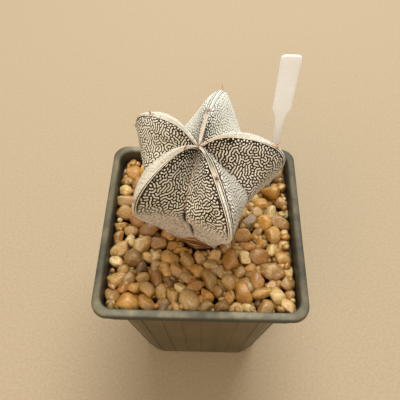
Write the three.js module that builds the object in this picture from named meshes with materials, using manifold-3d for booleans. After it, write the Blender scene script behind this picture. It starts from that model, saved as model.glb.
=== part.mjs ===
// A small five-ribbed star cactus in a square nursery pot with a gravel top dressing and a plant label.
// Millimetres, +Z up. The origin is the centre of the pot's base, on the surface it stands on.

import * as THREE from "three";
import { mergeVertices } from "three/addons/utils/BufferGeometryUtils.js";
import Module from "manifold-3d";

// Driving dimensions

const pot = {
  height: 72,
  rimHalf: 35, // half the outer width of the rim
  rimCorner: 5.4, // corner radius of the rim
  rimDrop: 2.8, // height of the rim's outer face
  rimEdge: 1.2, // rounding of the rim's outer edge
  mouthHalf: 32.3, // half the width inside the rim
  mouthEdge: 1.3, // rounding of the rim's inner edge
  collarDrop: 8.3, // the straight collar under the rim ends this far below the top
  wallTopHalf: 31.1, // the tapered wall's outer half width, carried up to the rim's height
  baseHalf: 24,
  wall: 0.9,
  topCorner: 6.5,
  baseCorner: 9,
  floor: 1.2,
  footHeight: 2.2, // the floor is raised by this much inside a standing edge
  footWidth: 3.6,
  baseEdge: 0.7, // rounding of the base's outer edge
  draft: 0.4, // sideways slope of the short moulded faces
  ridges: 32, // upright ridges round the wall
  ridgeHeight: 0.45,
  ridgeHalfWidth: 0.55,
  ridgeStart: 3, // the ridges fade in up to this height
  drainRadius: 2.6,
  drainOffset: 13,
  notchWidth: 7,
  notchHeight: 1.3,
};

const soil = { top: 60.8, gap: 0.35 };

const gravel = {
  bedTop: 65.2, // the packed lower stones, as one layer
  sunk: { atFoot: 1.6, atWall: 0.8, spread: 0.2 }, // how deep a stone sits in that layer
  gap: 0.35,
  seed: 20117,
  radius: { low: 2.1, high: 3.5 },
  fewLarge: 1.4, // above 1, small stones are more common than large ones
  // a stone's semi-axes as shares of its radius, and its tilt in radians
  long: [1, 1.3],
  wide: [0.75, 0.95],
  tall: [0.62, 0.85],
  tilt: 0.4,
  cover: 0.86, // the stones' area, as a share of the open surface
  passes: 60,
  footClearance: 9, // distance kept from the foot's axis to a stone's edge
  labelClearance: 0.6,
  holeMouth: 12.2, // the foot's hole widens to this radius under the lowest stretch of the crests
  wallClearance: 0.35,
};

const plant = {
  apex: [-1.3, 5.1, 107.5],
  lean: [-0.026, 0.114], // sideways shift for each millimetre of height
  // azimuth and size of each rib, anticlockwise seen from above
  ribs: [
    { azimuth: -136.9, scale: 0.955, areoles: [0.18, 0.48, 0.72] },
    { azimuth: -69.4, scale: 1.01, areoles: [0.32, 0.643, 0.84] },
    { azimuth: 4.3, scale: 0.985, areoles: [0.105, 0.43, 0.68] },
    { azimuth: 74.5, scale: 1.145, areoles: [0.243, 0.42, 0.69] },
    { azimuth: 142.5, scale: 0.98, areoles: [0.373, 0.555, 0.79] },
  ],
  // crest and valley of a rib from the apex down to the foot: distance from the axis, height above the apex
  crest: [
    [0, 0], [2.3, 1.6], [6.2, 3], [11.5, 3.2], [18.9, 1.6], [25.2, -2],
    [27.8, -7.6], [25.8, -13.8], [20.3, -21.7], [15, -30.7], [11, -37.4], [8, -40.5],
  ],
  valley: [
    [0, 0], [1.8, -1.3], [4.1, -2.5], [9, -3.9], [14, -6.4], [17.6, -9.6],
    [17.5, -13.4], [14.2, -18.6], [11.4, -25.5], [9.9, -32], [8.9, -37.6], [8, -40.5],
  ],
  navel: 0.3, // depth of the apex below the inner ends of the ribs
  crestRadius: 0.9, // rounding of the crest's edge
  crestDraw: 0.6, // how far the rounding draws the edge in, as a share of that radius
  edgeFadeIn: 0.08,
  swellFadeIn: 0.25,
  swellFadeOut: [0.28, 0.55],
  faceSwell: 2.3, // how far a face stands out of the straight line from crest to valley, a third of the way down
  rows: 19,
  acrossFace: [0, 0.05, 0.36, 0.72, 1],
  areole: { length: 1.5, width: 0.85, height: 0.75, sunk: 0.25 },
  spine: { length: 2.9, radius: 0.3, spread: 34 },
  rootRadius: 4.6,
  footRadius: 7.4, // the corky foot between the gravel's stones
  rootEnd: 52,
};

const label = {
  centre: [24.75, 22],
  top: 127.8,
  headWidth: 6.1,
  headBottomWidth: 5.8,
  headBottom: 108,
  headCorner: 1.4,
  neckWidth: 3.2,
  neckHeight: 102.5,
  stemWidth: 2.3,
  stemTop: 93,
  pointTop: 42,
  end: 36,
  pointWidth: 0.9,
  flare: 0.1, // how far the outline bows where the stem widens into the head
  neckSteps: 8,
  thickness: 0.7,
  slotGap: 0.4,
};

const wasm = await Module();
wasm.setup();

// Solids and geometries

function toSolid(geometry) {
  const bare = geometry.clone();
  bare.deleteAttribute("normal");
  bare.deleteAttribute("uv");
  const merged = mergeVertices(bare, 1e-5);
  const index = merged.getIndex().array;
  const triVerts = [];
  for (let i = 0; i < index.length; i += 3) {
    const [a, b, c] = [index[i], index[i + 1], index[i + 2]];
    if (a !== b && b !== c && c !== a) triVerts.push(a, b, c);
  }
  return new wasm.Manifold(
    new wasm.Mesh({
      numProp: 3,
      vertProperties: Float32Array.from(merged.getAttribute("position").array),
      triVerts: Uint32Array.from(triVerts),
    }),
  );
}

function toGeometry(solid) {
  const mesh = solid.getMesh();
  const geometry = new THREE.BufferGeometry();
  geometry.setAttribute("position", new THREE.BufferAttribute(mesh.vertProperties, 3));
  geometry.setIndex(new THREE.BufferAttribute(mesh.triVerts, 1));
  geometry.computeVertexNormals();
  return geometry;
}

// A closed body through rings of equal point counts, listed so that their anticlockwise points face outwards.
// Each end is closed by a fan to the end ring's mean point, or to the tip that is given.
function loft(rings, lastTip) {
  const count = rings[0].length;
  const mean = (ring) => ring.reduce((sum, p) => sum.add(p), new THREE.Vector3()).divideScalar(count);
  const points = [...rings.flat(), mean(rings[0]), lastTip ?? mean(rings.at(-1))];
  const first = rings.length * count;
  const last = first + 1;
  const index = [];
  for (let i = 0; i < count; i++) {
    const next = (i + 1) % count;
    index.push(first, next, i);
    for (let j = 0; j + 1 < rings.length; j++) {
      const low = j * count;
      const high = low + count;
      index.push(low + i, low + next, high + next, low + i, high + next, high + i);
    }
    index.push(last, first - count + i, first - count + next);
  }
  return new THREE.BufferGeometry().setFromPoints(points).setIndex(index);
}

// A seeded random number between two values

let state = gravel.seed;
function random(low, high) {
  state = (state * 1664525 + 1013904223) % 4294967296;
  return low + ((high - low) * state) / 4294967296;
}

// The pot

const turn = (degrees) => THREE.MathUtils.degToRad(degrees);

// One level of the pot: a square with round corners.
function roundedSquare(half, corner, z, steps = 5) {
  const points = [];
  const flat = half - corner;
  for (let side = 0; side < 4; side++) {
    const centre = new THREE.Vector2(flat, flat).rotateAround(new THREE.Vector2(), turn(side * 90));
    for (let i = 0; i <= steps; i++) {
      const angle = turn((side + i / steps) * 90);
      points.push(new THREE.Vector3(centre.x + corner * Math.cos(angle), centre.y + corner * Math.sin(angle), z));
    }
  }
  return points;
}

// A point at a share of the way round a round-cornered square, moved outwards.
function onPerimeter(half, corner, share, out, z) {
  const flat = half - corner;
  const quarter = 2 * flat + (corner * Math.PI) / 2;
  const side = Math.round(share * 4);
  const along = (share * 4 - side) * quarter;
  const angle = (Math.sign(along) * Math.max(0, Math.abs(along) - flat)) / corner;
  const x = flat + (corner + out) * Math.cos(angle);
  const y = THREE.MathUtils.clamp(along, -flat, flat) + (corner + out) * Math.sin(angle);
  return new THREE.Vector3(x, y, z).applyAxisAngle(new THREE.Vector3(0, 0, 1), turn(side * 90));
}

// A level of the wall, with its upright ridges evenly spaced round it and one point more beside each corner's
// ridge.
function ridgedSquare(half, corner, z, ridge) {
  const perimeter = 8 * (half - corner) + 2 * Math.PI * corner;
  const halfWidth = pot.ridgeHalfWidth / perimeter;
  const perSide = pot.ridges / 4;
  const points = [];
  for (let i = 0; i < pot.ridges; i++) {
    const share = i / pot.ridges;
    points.push(onPerimeter(half, corner, share - halfWidth, 0, z));
    points.push(onPerimeter(half, corner, share, ridge, z));
    points.push(onPerimeter(half, corner, share + halfWidth, 0, z));
    const besideCorner = i % perSide === perSide / 2 - 1 || i % perSide === perSide / 2;
    if (besideCorner) points.push(onPerimeter(half, corner, share + 0.5 / pot.ridges, 0, z));
  }
  return points;
}

const wallHalf = (z) => pot.baseHalf + ((pot.wallTopHalf - pot.baseHalf) * z) / pot.height;
const wallCorner = (z) => pot.baseCorner + ((pot.topCorner - pot.baseCorner) * z) / pot.height;
const insideHalf = (z) => wallHalf(z) - pot.wall;
const insideCorner = (z) => wallCorner(z) - pot.wall;
const collarBottom = pot.height - pot.collarDrop;
const collarCorner = pot.rimCorner - 1;
const floorTop = pot.footHeight + pot.floor;
const roundStep = 1 - Math.SQRT1_2; // the middle point of a quarter round, as a share of its radius

function potBody() {
  const { height, rimHalf, rimCorner, rimDrop, rimEdge, mouthHalf, mouthEdge, wall } = pot;
  const { baseHalf, baseCorner, baseEdge, draft } = pot;
  const wallLevel = (z, ridge) => ridgedSquare(wallHalf(z), wallCorner(z), z, ridge);
  const walls = loft([
    ridgedSquare(baseHalf - baseEdge, baseCorner - baseEdge, 0, 0),
    wallLevel(baseEdge, 0),
    wallLevel(pot.ridgeStart, pot.ridgeHeight),
    wallLevel(collarBottom - draft, pot.ridgeHeight),
  ]);
  const rimLevel = (inset, z) => roundedSquare(rimHalf - inset, rimCorner - inset, z);
  const collarLevel = (inset, z) => roundedSquare(mouthHalf + wall - inset, collarCorner + wall - inset, z);
  const rim = loft([
    roundedSquare(wallHalf(collarBottom) - draft, wallCorner(collarBottom), collarBottom - 2 * wall),
    collarLevel(draft, collarBottom),
    collarLevel(0, height - rimDrop + draft),
    rimLevel(draft, height - rimDrop),
    rimLevel(0, height - rimDrop + draft),
    rimLevel(0, height - rimEdge),
    rimLevel(rimEdge * roundStep, height - rimEdge * roundStep),
    rimLevel(rimEdge, height),
  ]);
  const insideLevel = (z, inset) => roundedSquare(insideHalf(z) - inset, insideCorner(z) - inset, z);
  const mouthLevel = (outset, z) => roundedSquare(mouthHalf + outset, collarCorner + outset, z);
  const cavity = loft([
    insideLevel(floorTop, baseEdge),
    insideLevel(floorTop + baseEdge, 0),
    insideLevel(collarBottom - draft, 0),
    mouthLevel(-draft, collarBottom + wall),
    mouthLevel(0, height - mouthEdge),
    mouthLevel(mouthEdge * roundStep, height - mouthEdge * roundStep),
    mouthLevel(mouthEdge, height),
    mouthLevel(mouthEdge, height + wall),
  ]);
  const footInner = baseHalf - pot.footWidth;
  const recess = loft([
    roundedSquare(footInner, baseCorner - pot.footWidth, -wall),
    roundedSquare(footInner - draft, baseCorner - pot.footWidth, pot.footHeight),
  ]);
  return toSolid(walls).add(toSolid(rim)).subtract(toSolid(cavity)).subtract(toSolid(recess)).subtract(drains());
}

// A round drain hole in the middle and one near each corner, and a notch through each side of the standing edge.
function drains() {
  const places = [[0, 0], [1, 1], [-1, 1], [-1, -1], [1, -1]];
  const cutters = places.map(([x, y]) =>
    new THREE.CylinderGeometry(pot.drainRadius, pot.drainRadius, 4 * floorTop, 12)
      .rotateX(Math.PI / 2)
      .translate(x * pot.drainOffset, y * pot.drainOffset, 0),
  );
  const across = 2 * (pot.baseHalf + pot.wall);
  cutters.push(new THREE.BoxGeometry(pot.notchWidth, across, 2 * pot.notchHeight));
  cutters.push(new THREE.BoxGeometry(across, pot.notchWidth, 2 * pot.notchHeight));
  return wasm.Manifold.union(cutters.map(toSolid));
}

// The soil and its holes

const foot = new THREE.Vector2(
  plant.apex[0] + plant.lean[0] * plant.crest.at(-1)[1],
  plant.apex[1] + plant.lean[1] * plant.crest.at(-1)[1],
);
const footHeight = plant.apex[2] + plant.crest.at(-1)[1];

// A round hole on the foot's axis, wider at its mouth where a second radius is given.
function rootHole(radius, bottom, top, mouthRadius = radius) {
  const height = top - bottom;
  return toSolid(
    new THREE.CylinderGeometry(mouthRadius, radius, height, 24)
      .rotateX(Math.PI / 2)
      .translate(foot.x, foot.y, bottom + height / 2),
  );
}

function labelSlot() {
  const { slotGap, stemWidth, thickness } = label;
  const bottom = label.end - slotGap;
  const height = pot.height - bottom;
  const [x, y] = label.centre;
  return new THREE.BoxGeometry(stemWidth + 2 * slotGap, thickness + 2 * slotGap, height)
    .translate(x, y, bottom + height / 2);
}

// A filling of the pot through levels of height, inner half width and corner radius, kept clear of the wall.
function filling(levels, gap) {
  return toSolid(loft(levels.map(([z, half, corner]) => roundedSquare(half - gap, corner - gap, z))));
}

function soilBody() {
  const level = (z, inset = 0) => [z, insideHalf(z) - inset, insideCorner(z) - inset];
  const under = floorTop + soil.gap;
  return filling([level(under, pot.baseEdge), level(under + pot.baseEdge), level(soil.top)], soil.gap)
    .subtract(rootHole(plant.rootRadius + soil.gap, plant.rootEnd - soil.gap, pot.height))
    .subtract(toSolid(labelSlot()));
}

// The gravel: a packed bed and the rounded stones that stand out of it

// Stones are dropped at random until they cover the surface, then pushed apart step by step until they lie
// side by side, inside the pot and clear of the plant's foot and the label.
function layStones() {
  const half = pot.mouthHalf - gravel.wallClearance;
  const straight = pot.mouthHalf - collarCorner;
  const open = 4 * half * half - Math.PI * gravel.footClearance ** 2;
  const stones = [];
  for (let covered = 0; covered < gravel.cover * open; ) {
    const radius = gravel.radius.low + (gravel.radius.high - gravel.radius.low) * random(0, 1) ** gravel.fewLarge;
    stones.push({ x: random(-half, half), y: random(-half, half), radius });
    covered += Math.PI * radius * radius;
  }
  const pushFrom = (stone, x, y, distance) => {
    const away = new THREE.Vector2(stone.x - x, stone.y - y);
    const short = distance - away.length();
    if (short <= 0) return;
    away.setLength(short);
    stone.x += away.x;
    stone.y += away.y;
  };
  for (let pass = 0; pass < gravel.passes; pass++) {
    stones.forEach((a, i) =>
      stones.slice(i + 1).forEach((b) => {
        const away = new THREE.Vector2(a.x - b.x, a.y - b.y);
        const short = a.radius + b.radius - away.length();
        if (short <= 0) return;
        away.setLength(short / 2);
        a.x += away.x;
        a.y += away.y;
        b.x -= away.x;
        b.y -= away.y;
      }),
    );
    for (const stone of stones) {
      pushFrom(stone, foot.x, foot.y, gravel.footClearance + stone.radius);
      const onLabel = THREE.MathUtils.clamp(stone.x - label.centre[0], -label.stemWidth / 2, label.stemWidth / 2);
      pushFrom(stone, label.centre[0] + onLabel, label.centre[1], gravel.labelClearance + stone.radius);
      const reach = half - stone.radius;
      stone.x = THREE.MathUtils.clamp(stone.x, -reach, reach);
      stone.y = THREE.MathUtils.clamp(stone.y, -reach, reach);
      const inX = Math.abs(stone.x) - straight;
      const inY = Math.abs(stone.y) - straight;
      const past = Math.hypot(inX, inY) + stone.radius - collarCorner;
      if (inX > 0 && inY > 0 && past > 0) {
        stone.x -= (Math.sign(stone.x) * past * inX) / Math.hypot(inX, inY);
        stone.y -= (Math.sign(stone.y) * past * inY) / Math.hypot(inX, inY);
      }
    }
  }
  return stones;
}

// A stone: a squashed many-sided ball, longer one way, turned and tilted a little.
function stoneBody({ x, y, radius }) {
  const long = random(...gravel.long);
  const wide = random(...gravel.wide);
  const tall = random(...gravel.tall);
  const { atFoot, atWall, spread } = gravel.sunk;
  const outwards = Math.min(1, Math.hypot(x - foot.x, y - foot.y) / pot.mouthHalf);
  const bottom = gravel.bedTop - atFoot + (atFoot - atWall) * outwards + random(-spread, spread);
  const shape = new THREE.IcosahedronGeometry(radius, 0)
    .rotateX(random(0, 2 * Math.PI))
    .rotateY(random(0, 2 * Math.PI))
    .scale(long, wide, tall)
    .rotateX(random(-gravel.tilt, gravel.tilt))
    .rotateZ(random(0, 2 * Math.PI));
  shape.computeBoundingBox();
  return shape.translate(x, y, bottom - shape.boundingBox.min.z);
}

function gravelBody() {
  const footWidest = plant.crest.at(-1)[0];
  const lowCrestHeight = plant.apex[2] + plant.crest.at(-2)[1];
  const bedUnder = soil.top + gravel.gap;
  const bed = filling(
    [
      [bedUnder, pot.mouthHalf, collarCorner],
      [gravel.bedTop, pot.mouthHalf, collarCorner],
    ],
    gravel.gap,
  );
  const room = filling(
    [
      [bedUnder, insideHalf(soil.top), insideCorner(soil.top)],
      [collarBottom - pot.draft, insideHalf(collarBottom), insideCorner(collarBottom)],
      [collarBottom + pot.wall, pot.mouthHalf - pot.draft, collarCorner],
      [pot.height, pot.mouthHalf, collarCorner],
    ],
    gravel.gap,
  );
  const stones = layStones().map((stone) => toSolid(stoneBody(stone)));
  return wasm.Manifold.union([bed, ...stones])
    .intersect(room)
    .subtract(rootHole(footWidest + gravel.gap, soil.top, pot.height))
    .subtract(rootHole(footWidest + gravel.gap, footHeight - gravel.gap, lowCrestHeight, gravel.holeMouth))
    .subtract(toSolid(labelSlot()));
}

// The plant

const curve = (points) => new THREE.SplineCurve(points.map(([r, z]) => new THREE.Vector2(r, z)));
const crestCurve = curve(plant.crest);
const valleyCurve = curve(plant.valley);

// A meridian point and its outward normal, in the upright plane at an azimuth and before the plant's lean.
// The ribs differ in size, and come to one size at the foot.
function meridian(line, at, azimuth, scale) {
  const point = line.getPoint(at).multiplyScalar(1 + (scale - 1) * (1 - at ** 4));
  const slope = line.getTangent(at);
  const out = new THREE.Vector3(Math.cos(azimuth), Math.sin(azimuth), 0);
  const place = (r, z) => out.clone().multiplyScalar(r).setZ(z);
  return { point: place(point.x, point.y), normal: place(-slope.y, slope.x), along: place(slope.x, slope.y) };
}

// How far the crest's edge is rounded off and the faces swell, both fading in from the apex. The swell fades
// out again before the widest place, and is largest a third of the way from crest to valley, where the cubic
// is 4 / 27.
const edgeRadius = (at) => plant.crestRadius * Math.min(1, at / plant.edgeFadeIn);
const swellHeight = (at) =>
  plant.faceSwell * Math.min(1, at / plant.swellFadeIn) * (1 - THREE.MathUtils.smoothstep(at, ...plant.swellFadeOut));
const swellShape = (share) => (27 / 4) * share * (1 - share) ** 2;

// A point of a face: on the straight line from crest to valley, swollen outwards, and drawn in near the
// crest so that the edge is round.
function facePoint(crest, valley, share, at) {
  const distance = share * crest.point.distanceTo(valley.point);
  const drawnIn = Math.hypot(distance, edgeRadius(at)) - distance;
  const outward = crest.normal.clone().add(valley.normal).normalize();
  return crest.point
    .clone()
    .lerp(valley.point, share)
    .addScaledVector(crest.normal, -plant.crestDraw * drawnIn)
    .addScaledVector(outward, swellHeight(at) * swellShape(share));
}

function lean(point) {
  const [x, y, z] = plant.apex;
  return new THREE.Vector3(
    x + point.x + plant.lean[0] * point.z,
    y + point.y + plant.lean[1] * point.z,
    z + point.z,
  );
}

function plantRing(at) {
  const points = [];
  plant.ribs.forEach((rib, i) => {
    const next = plant.ribs[(i + 1) % plant.ribs.length];
    const from = turn(rib.azimuth);
    const to = turn(next.azimuth + (next.azimuth < rib.azimuth ? 360 : 0));
    const valley = meridian(valleyCurve, at, (from + to) / 2, (rib.scale + next.scale) / 2);
    const near = meridian(crestCurve, at, from, rib.scale);
    const far = meridian(crestCurve, at, to, next.scale);
    for (const share of plant.acrossFace) points.push(lean(facePoint(near, valley, share, at)));
    for (const share of plant.acrossFace.slice(1, -1).reverse()) {
      points.push(lean(facePoint(far, valley, share, at)));
    }
  });
  return points;
}

function circle(radius, z, count) {
  const start = turn(plant.ribs[0].azimuth);
  return Array.from({ length: count }, (_, i) => {
    const angle = start + (i / count) * 2 * Math.PI;
    return new THREE.Vector3(foot.x + radius * Math.cos(angle), foot.y + radius * Math.sin(angle), z);
  });
}

// A woolly areole on a crest, with two spines that lean apart along the crest.
function areoleBodies(rib, at) {
  const { length, width, height, sunk } = plant.areole;
  const { point, normal, along } = meridian(crestCurve, at, turn(rib.azimuth), rib.scale);
  const centre = lean(point.clone().addScaledVector(normal, -plant.crestDraw * edgeRadius(at) - sunk));
  const side = new THREE.Vector3().crossVectors(normal, along);
  const axes = new THREE.Matrix4().makeBasis(along, side, normal).setPosition(centre);
  const pad = new THREE.SphereGeometry(1, 6, 3).scale(length, width, height + sunk);
  const spines = [-1, 1].map((way) =>
    new THREE.ConeGeometry(plant.spine.radius, plant.spine.length + height, 3)
      .translate(0, (plant.spine.length + height) / 2, 0)
      .rotateX(Math.PI / 2)
      .rotateY(turn(way * plant.spine.spread)),
  );
  return [pad, ...spines].map((shape) => toSolid(shape.applyMatrix4(axes)));
}

function plantBody() {
  const { rows, rootRadius, footRadius, rootEnd, acrossFace } = plant;
  const count = plant.ribs.length * 2 * (acrossFace.length - 1);
  const rings = [
    circle(rootRadius, rootEnd, count),
    circle(rootRadius, soil.top + gravel.gap, count),
    circle(footRadius, soil.top + gravel.gap + 1, count),
  ];
  for (let i = rows; i > 0; i--) rings.push(plantRing(i / rows));
  const body = toSolid(loft(rings, lean(new THREE.Vector3(0, 0, -plant.navel))));
  const areoles = plant.ribs.flatMap((rib) => rib.areoles.flatMap((at) => areoleBodies(rib, at)));
  return wasm.Manifold.union([body, ...areoles]);
}

// The label

// Half of the outline, from the point up to the head's rounded top corner, as [half width, height].
function labelEdge() {
  const { top, headBottom, headCorner, neckHeight, stemTop, pointTop, end, flare, neckSteps } = label;
  const headWide = label.headWidth / 2;
  const neck = [
    [label.stemWidth / 2, stemTop],
    [label.stemWidth / 2 + flare, neckHeight - (neckHeight - stemTop) / 2],
    [label.neckWidth / 2, neckHeight],
    [label.headBottomWidth / 2 - flare, headBottom - (headBottom - neckHeight) / 3],
    [label.headBottomWidth / 2, headBottom],
  ].map(([x, y]) => new THREE.Vector2(x, y));
  const corner = [0, 1, 2, 3, 4].map((step) => {
    const angle = (step / 4) * (Math.PI / 2);
    const radial = new THREE.Vector2(Math.cos(angle), Math.sin(angle)).multiplyScalar(headCorner);
    return radial.add(new THREE.Vector2(headWide - headCorner, top - headCorner));
  });
  return [
    new THREE.Vector2(label.pointWidth / 2, end),
    new THREE.Vector2(label.stemWidth / 2, pointTop),
    ...new THREE.SplineCurve(neck).getPoints(neckSteps),
    ...corner,
  ];
}

function labelBody() {
  const edge = labelEdge();
  const mirrored = edge.map(({ x, y }) => new THREE.Vector2(-x, y)).reverse();
  const outline = new THREE.Shape([...edge, ...mirrored]);
  return new THREE.ExtrudeGeometry(outline, { depth: label.thickness, bevelEnabled: false })
    .rotateX(Math.PI / 2)
    .translate(label.centre[0], label.centre[1] + label.thickness / 2, 0);
}

// The object

function piece(name, geometry, color, roughness) {
  const material = new THREE.MeshStandardMaterial({ color, roughness, metalness: 0 });
  const mesh = new THREE.Mesh(geometry, material);
  mesh.name = name;
  return mesh;
}

const object = new THREE.Group();
object.add(
  piece("pot", toGeometry(potBody()), "#5b5d50", 0.6),
  piece("potting_soil", toGeometry(soilBody()), "#2e2219", 0.95),
  piece("gravel", toGeometry(gravelBody()), "#b98d58", 0.75),
  piece("cactus", toGeometry(plantBody()), "#b9b09a", 0.8),
  piece("plant_label", toGeometry(toSolid(labelBody())), "#ece4d2", 0.45),
);

export default object;
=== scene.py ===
# A star cactus in a square nursery pot: the looks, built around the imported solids.
# Shapes are worked out in millimetres, +Z up, and turned to metres as each mesh is made.

import bmesh
import bpy
import numpy as np
from mathutils import Matrix, Vector


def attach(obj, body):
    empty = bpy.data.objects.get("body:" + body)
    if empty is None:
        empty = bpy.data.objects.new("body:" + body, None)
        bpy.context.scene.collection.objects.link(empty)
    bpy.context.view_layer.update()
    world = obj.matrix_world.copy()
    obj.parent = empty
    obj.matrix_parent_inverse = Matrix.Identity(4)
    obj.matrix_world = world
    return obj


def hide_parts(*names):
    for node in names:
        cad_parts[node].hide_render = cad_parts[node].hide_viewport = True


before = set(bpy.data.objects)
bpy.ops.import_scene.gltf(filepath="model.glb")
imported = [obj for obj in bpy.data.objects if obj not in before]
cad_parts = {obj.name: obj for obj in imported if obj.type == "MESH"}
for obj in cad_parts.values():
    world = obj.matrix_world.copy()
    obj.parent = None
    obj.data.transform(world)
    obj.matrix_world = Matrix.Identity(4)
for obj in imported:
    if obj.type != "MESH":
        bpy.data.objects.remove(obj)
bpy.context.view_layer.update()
mm = 0.001


# Helpers

# The scale of a pattern whose features are this many millimetres wide.
def perGrain(size):
    return 1 / (size * mm)


# An sRGB hex colour as linear RGBA.
def colour(code):
    channels = np.array([int(code[i:i + 2], 16) for i in (1, 3, 5)]) / 255
    linear = np.where(channels <= 0.04045, channels / 12.92, ((channels + 0.055) / 1.055) ** 2.4)
    return (*linear.tolist(), 1.0)


# Adds a node and gives the output named, or else the first one in use. A setting is one of the node's
# properties, a constant of an input, or the stops of its ramp. A Mix of colours takes the share of the second
# at input 0, and the two colours at 6 and 7.
def addNode(tree, kind, settings=None, links=None, output=None):
    node = tree.nodes.new("ShaderNode" + kind)
    for name, value in (settings or {}).items():
        if name == "stops":
            ramp = node.color_ramp.elements
            while len(ramp) < len(value):
                ramp.new(1.0)
            for stop, (place, tone) in zip(ramp, value):
                stop.position = place
                stop.color = colour(tone) if isinstance(tone, str) else (tone, tone, tone, 1.0)
        elif isinstance(name, str) and hasattr(node, name):
            setattr(node, name, value)
        else:
            node.inputs[name].default_value = value
    for name, socket in (links or {}).items():
        tree.links.new(socket, node.inputs[name])
    if output:
        return node.outputs[output]
    return next((socket for socket in node.outputs if socket.enabled), None)


def newMaterial(name):
    material = bpy.data.materials.new(name)
    material.use_nodes = True
    material.node_tree.nodes.clear()
    return material, material.node_tree


# A material's end: its shader, with the constants and the links of its inputs, and its output.
def endMaterial(tree, settings, links):
    shader = addNode(tree, "BsdfPrincipled", settings, links)
    addNode(tree, "OutputMaterial", links={"Surface": shader})


# A mesh object from points in millimetres and triangles, with float attributes for its points.
def newPiece(name, points, triangles, material, attributes=None):
    a, b, c = (points[triangles[:, i]] for i in range(3))
    if np.einsum("ij,ij->i", a, np.cross(b, c)).sum() < 0:  # a negative volume: the faces point inwards
        triangles = triangles[:, ::-1]
    mesh = bpy.data.meshes.new(name)
    mesh.vertices.add(len(points))
    mesh.vertices.foreach_set("co", (points * mm).astype(np.float32).ravel())
    mesh.loops.add(triangles.size)
    mesh.loops.foreach_set("vertex_index", triangles.astype(np.int32).ravel())
    mesh.polygons.add(len(triangles))
    mesh.polygons.foreach_set("loop_start", np.arange(0, triangles.size, 3, dtype=np.int32))
    mesh.polygons.foreach_set("use_smooth", np.ones(len(triangles), bool))
    mesh.update(calc_edges=True)
    for key, values in (attributes or {}).items():
        layer = mesh.attributes.new(key, "FLOAT", "POINT")
        layer.data.foreach_set("value", values.astype(np.float32).ravel())
    mesh.materials.append(material)
    piece = bpy.data.objects.new(name, mesh)
    bpy.context.scene.collection.objects.link(piece)
    return piece


# Triangles of a grid of points whose columns close into a ring.
def ringTriangles(rows, columns, start=0):
    low = np.arange(rows - 1)[:, None] * columns + np.arange(columns)[None, :] + start
    nextLow = np.arange(rows - 1)[:, None] * columns + (np.arange(columns)[None, :] + 1) % columns + start
    first = np.stack([low, nextLow, nextLow + columns], -1)
    second = np.stack([low, nextLow + columns, low + columns], -1)
    return np.concatenate([first.reshape(-1, 3), second.reshape(-1, 3)])


# A closed body through rings of equal point counts: points (rows, columns, 3), its ends closed by fans.
def closeRings(rings, firstTip=None, lastTip=None):
    rows, columns = rings.shape[:2]
    ends = ((rings[0], firstTip), (rings[-1], lastTip))
    tips = [ring.mean(0) if tip is None else tip for ring, tip in ends]
    points = np.concatenate([rings.reshape(-1, 3), np.array(tips)])
    around = np.arange(columns)
    following = (around + 1) % columns
    under = rows * columns
    firstFan = np.stack([np.full(columns, under), following, around], -1)
    top = (rows - 1) * columns
    lastFan = np.stack([np.full(columns, under + 1), top + around, top + following], -1)
    return points, np.concatenate([ringTriangles(rows, columns), firstFan, lastFan])


# Joins bodies given as (points, triangles) into one list of each.
def joinBodies(bodies):
    counts = np.cumsum([0] + [len(points) for points, _ in bodies[:-1]])
    points = np.concatenate([points for points, _ in bodies])
    triangles = np.concatenate([triangles + count for (_, triangles), count in zip(bodies, counts)])
    return points, triangles


def smoothStep(low, high, value):
    t = np.clip((value - low) / (high - low), 0, 1)
    return t * t * (3 - 2 * t)


# A ball of nearly equal triangles: the icosahedron, each triangle cut in four and pushed out to radius 1.
def unitBall(cuts):
    golden = (1 + 5 ** 0.5) / 2
    corners = [(-1, golden, 0), (1, golden, 0), (-1, -golden, 0), (1, -golden, 0)]
    points = np.array([np.roll(corner, turn) for turn in range(3) for corner in corners])
    points /= np.hypot(1, golden)
    triangles = [(0, 11, 5), (0, 5, 1), (0, 1, 7), (0, 7, 10), (0, 10, 11), (1, 5, 9), (5, 11, 4),
                 (11, 10, 2), (10, 7, 6), (7, 1, 8), (3, 9, 4), (3, 4, 2), (3, 2, 6), (3, 6, 8),
                 (3, 8, 9), (4, 9, 5), (2, 4, 11), (6, 2, 10), (8, 6, 7), (9, 8, 1)]
    triangles = np.array(triangles)
    for _ in range(cuts):
        edges = np.concatenate([triangles[:, [0, 1]], triangles[:, [1, 2]], triangles[:, [2, 0]]])
        pairs, place = np.unique(np.sort(edges, 1), axis=0, return_inverse=True)
        middles = points[pairs].mean(1)
        middles /= np.linalg.norm(middles, axis=1, keepdims=True)
        ab, bc, ca = np.split(place.ravel() + len(points), 3)
        a, b, c = triangles.T
        points = np.concatenate([points, middles])
        cut = [np.stack(corners, -1) for corners in ((a, ab, ca), (b, bc, ab), (c, ca, bc), (ab, bc, ca))]
        triangles = np.concatenate(cut)
    return points, triangles


# Smooth random height over points in space: the mean of a few plane waves of one wavelength.
def ripple(points, wavelength, seed, waves=9):
    random = np.random.default_rng(seed)
    ways = random.normal(size=(waves, 3))
    ways *= 2 * np.pi / wavelength / np.linalg.norm(ways, axis=1, keepdims=True)
    return np.sin(points @ ways.T + random.uniform(0, 2 * np.pi, waves)).mean(-1)


# A value that swings about a middle from place to place.
def uneven(points, middle, swing, wavelength, seed, waves=9):
    return middle + swing * ripple(points, wavelength, seed, waves)


# The camera, where the photograph was taken from

cameraPlace = {
    "target": (0.0, 0.0, 72.0),  # the middle of the pot's rim
    "elevation": 55.9,
    "turn": 1.3,
    "roll": 0.1,
    "distance": 171.0,
    "focal": 484.0,  # in pixels of the photograph's 400 x 400 frame
    "frame": 400.0,
    "aside": (-0.75, 8.05),  # how far the target lies off the middle of the view
}


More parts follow.
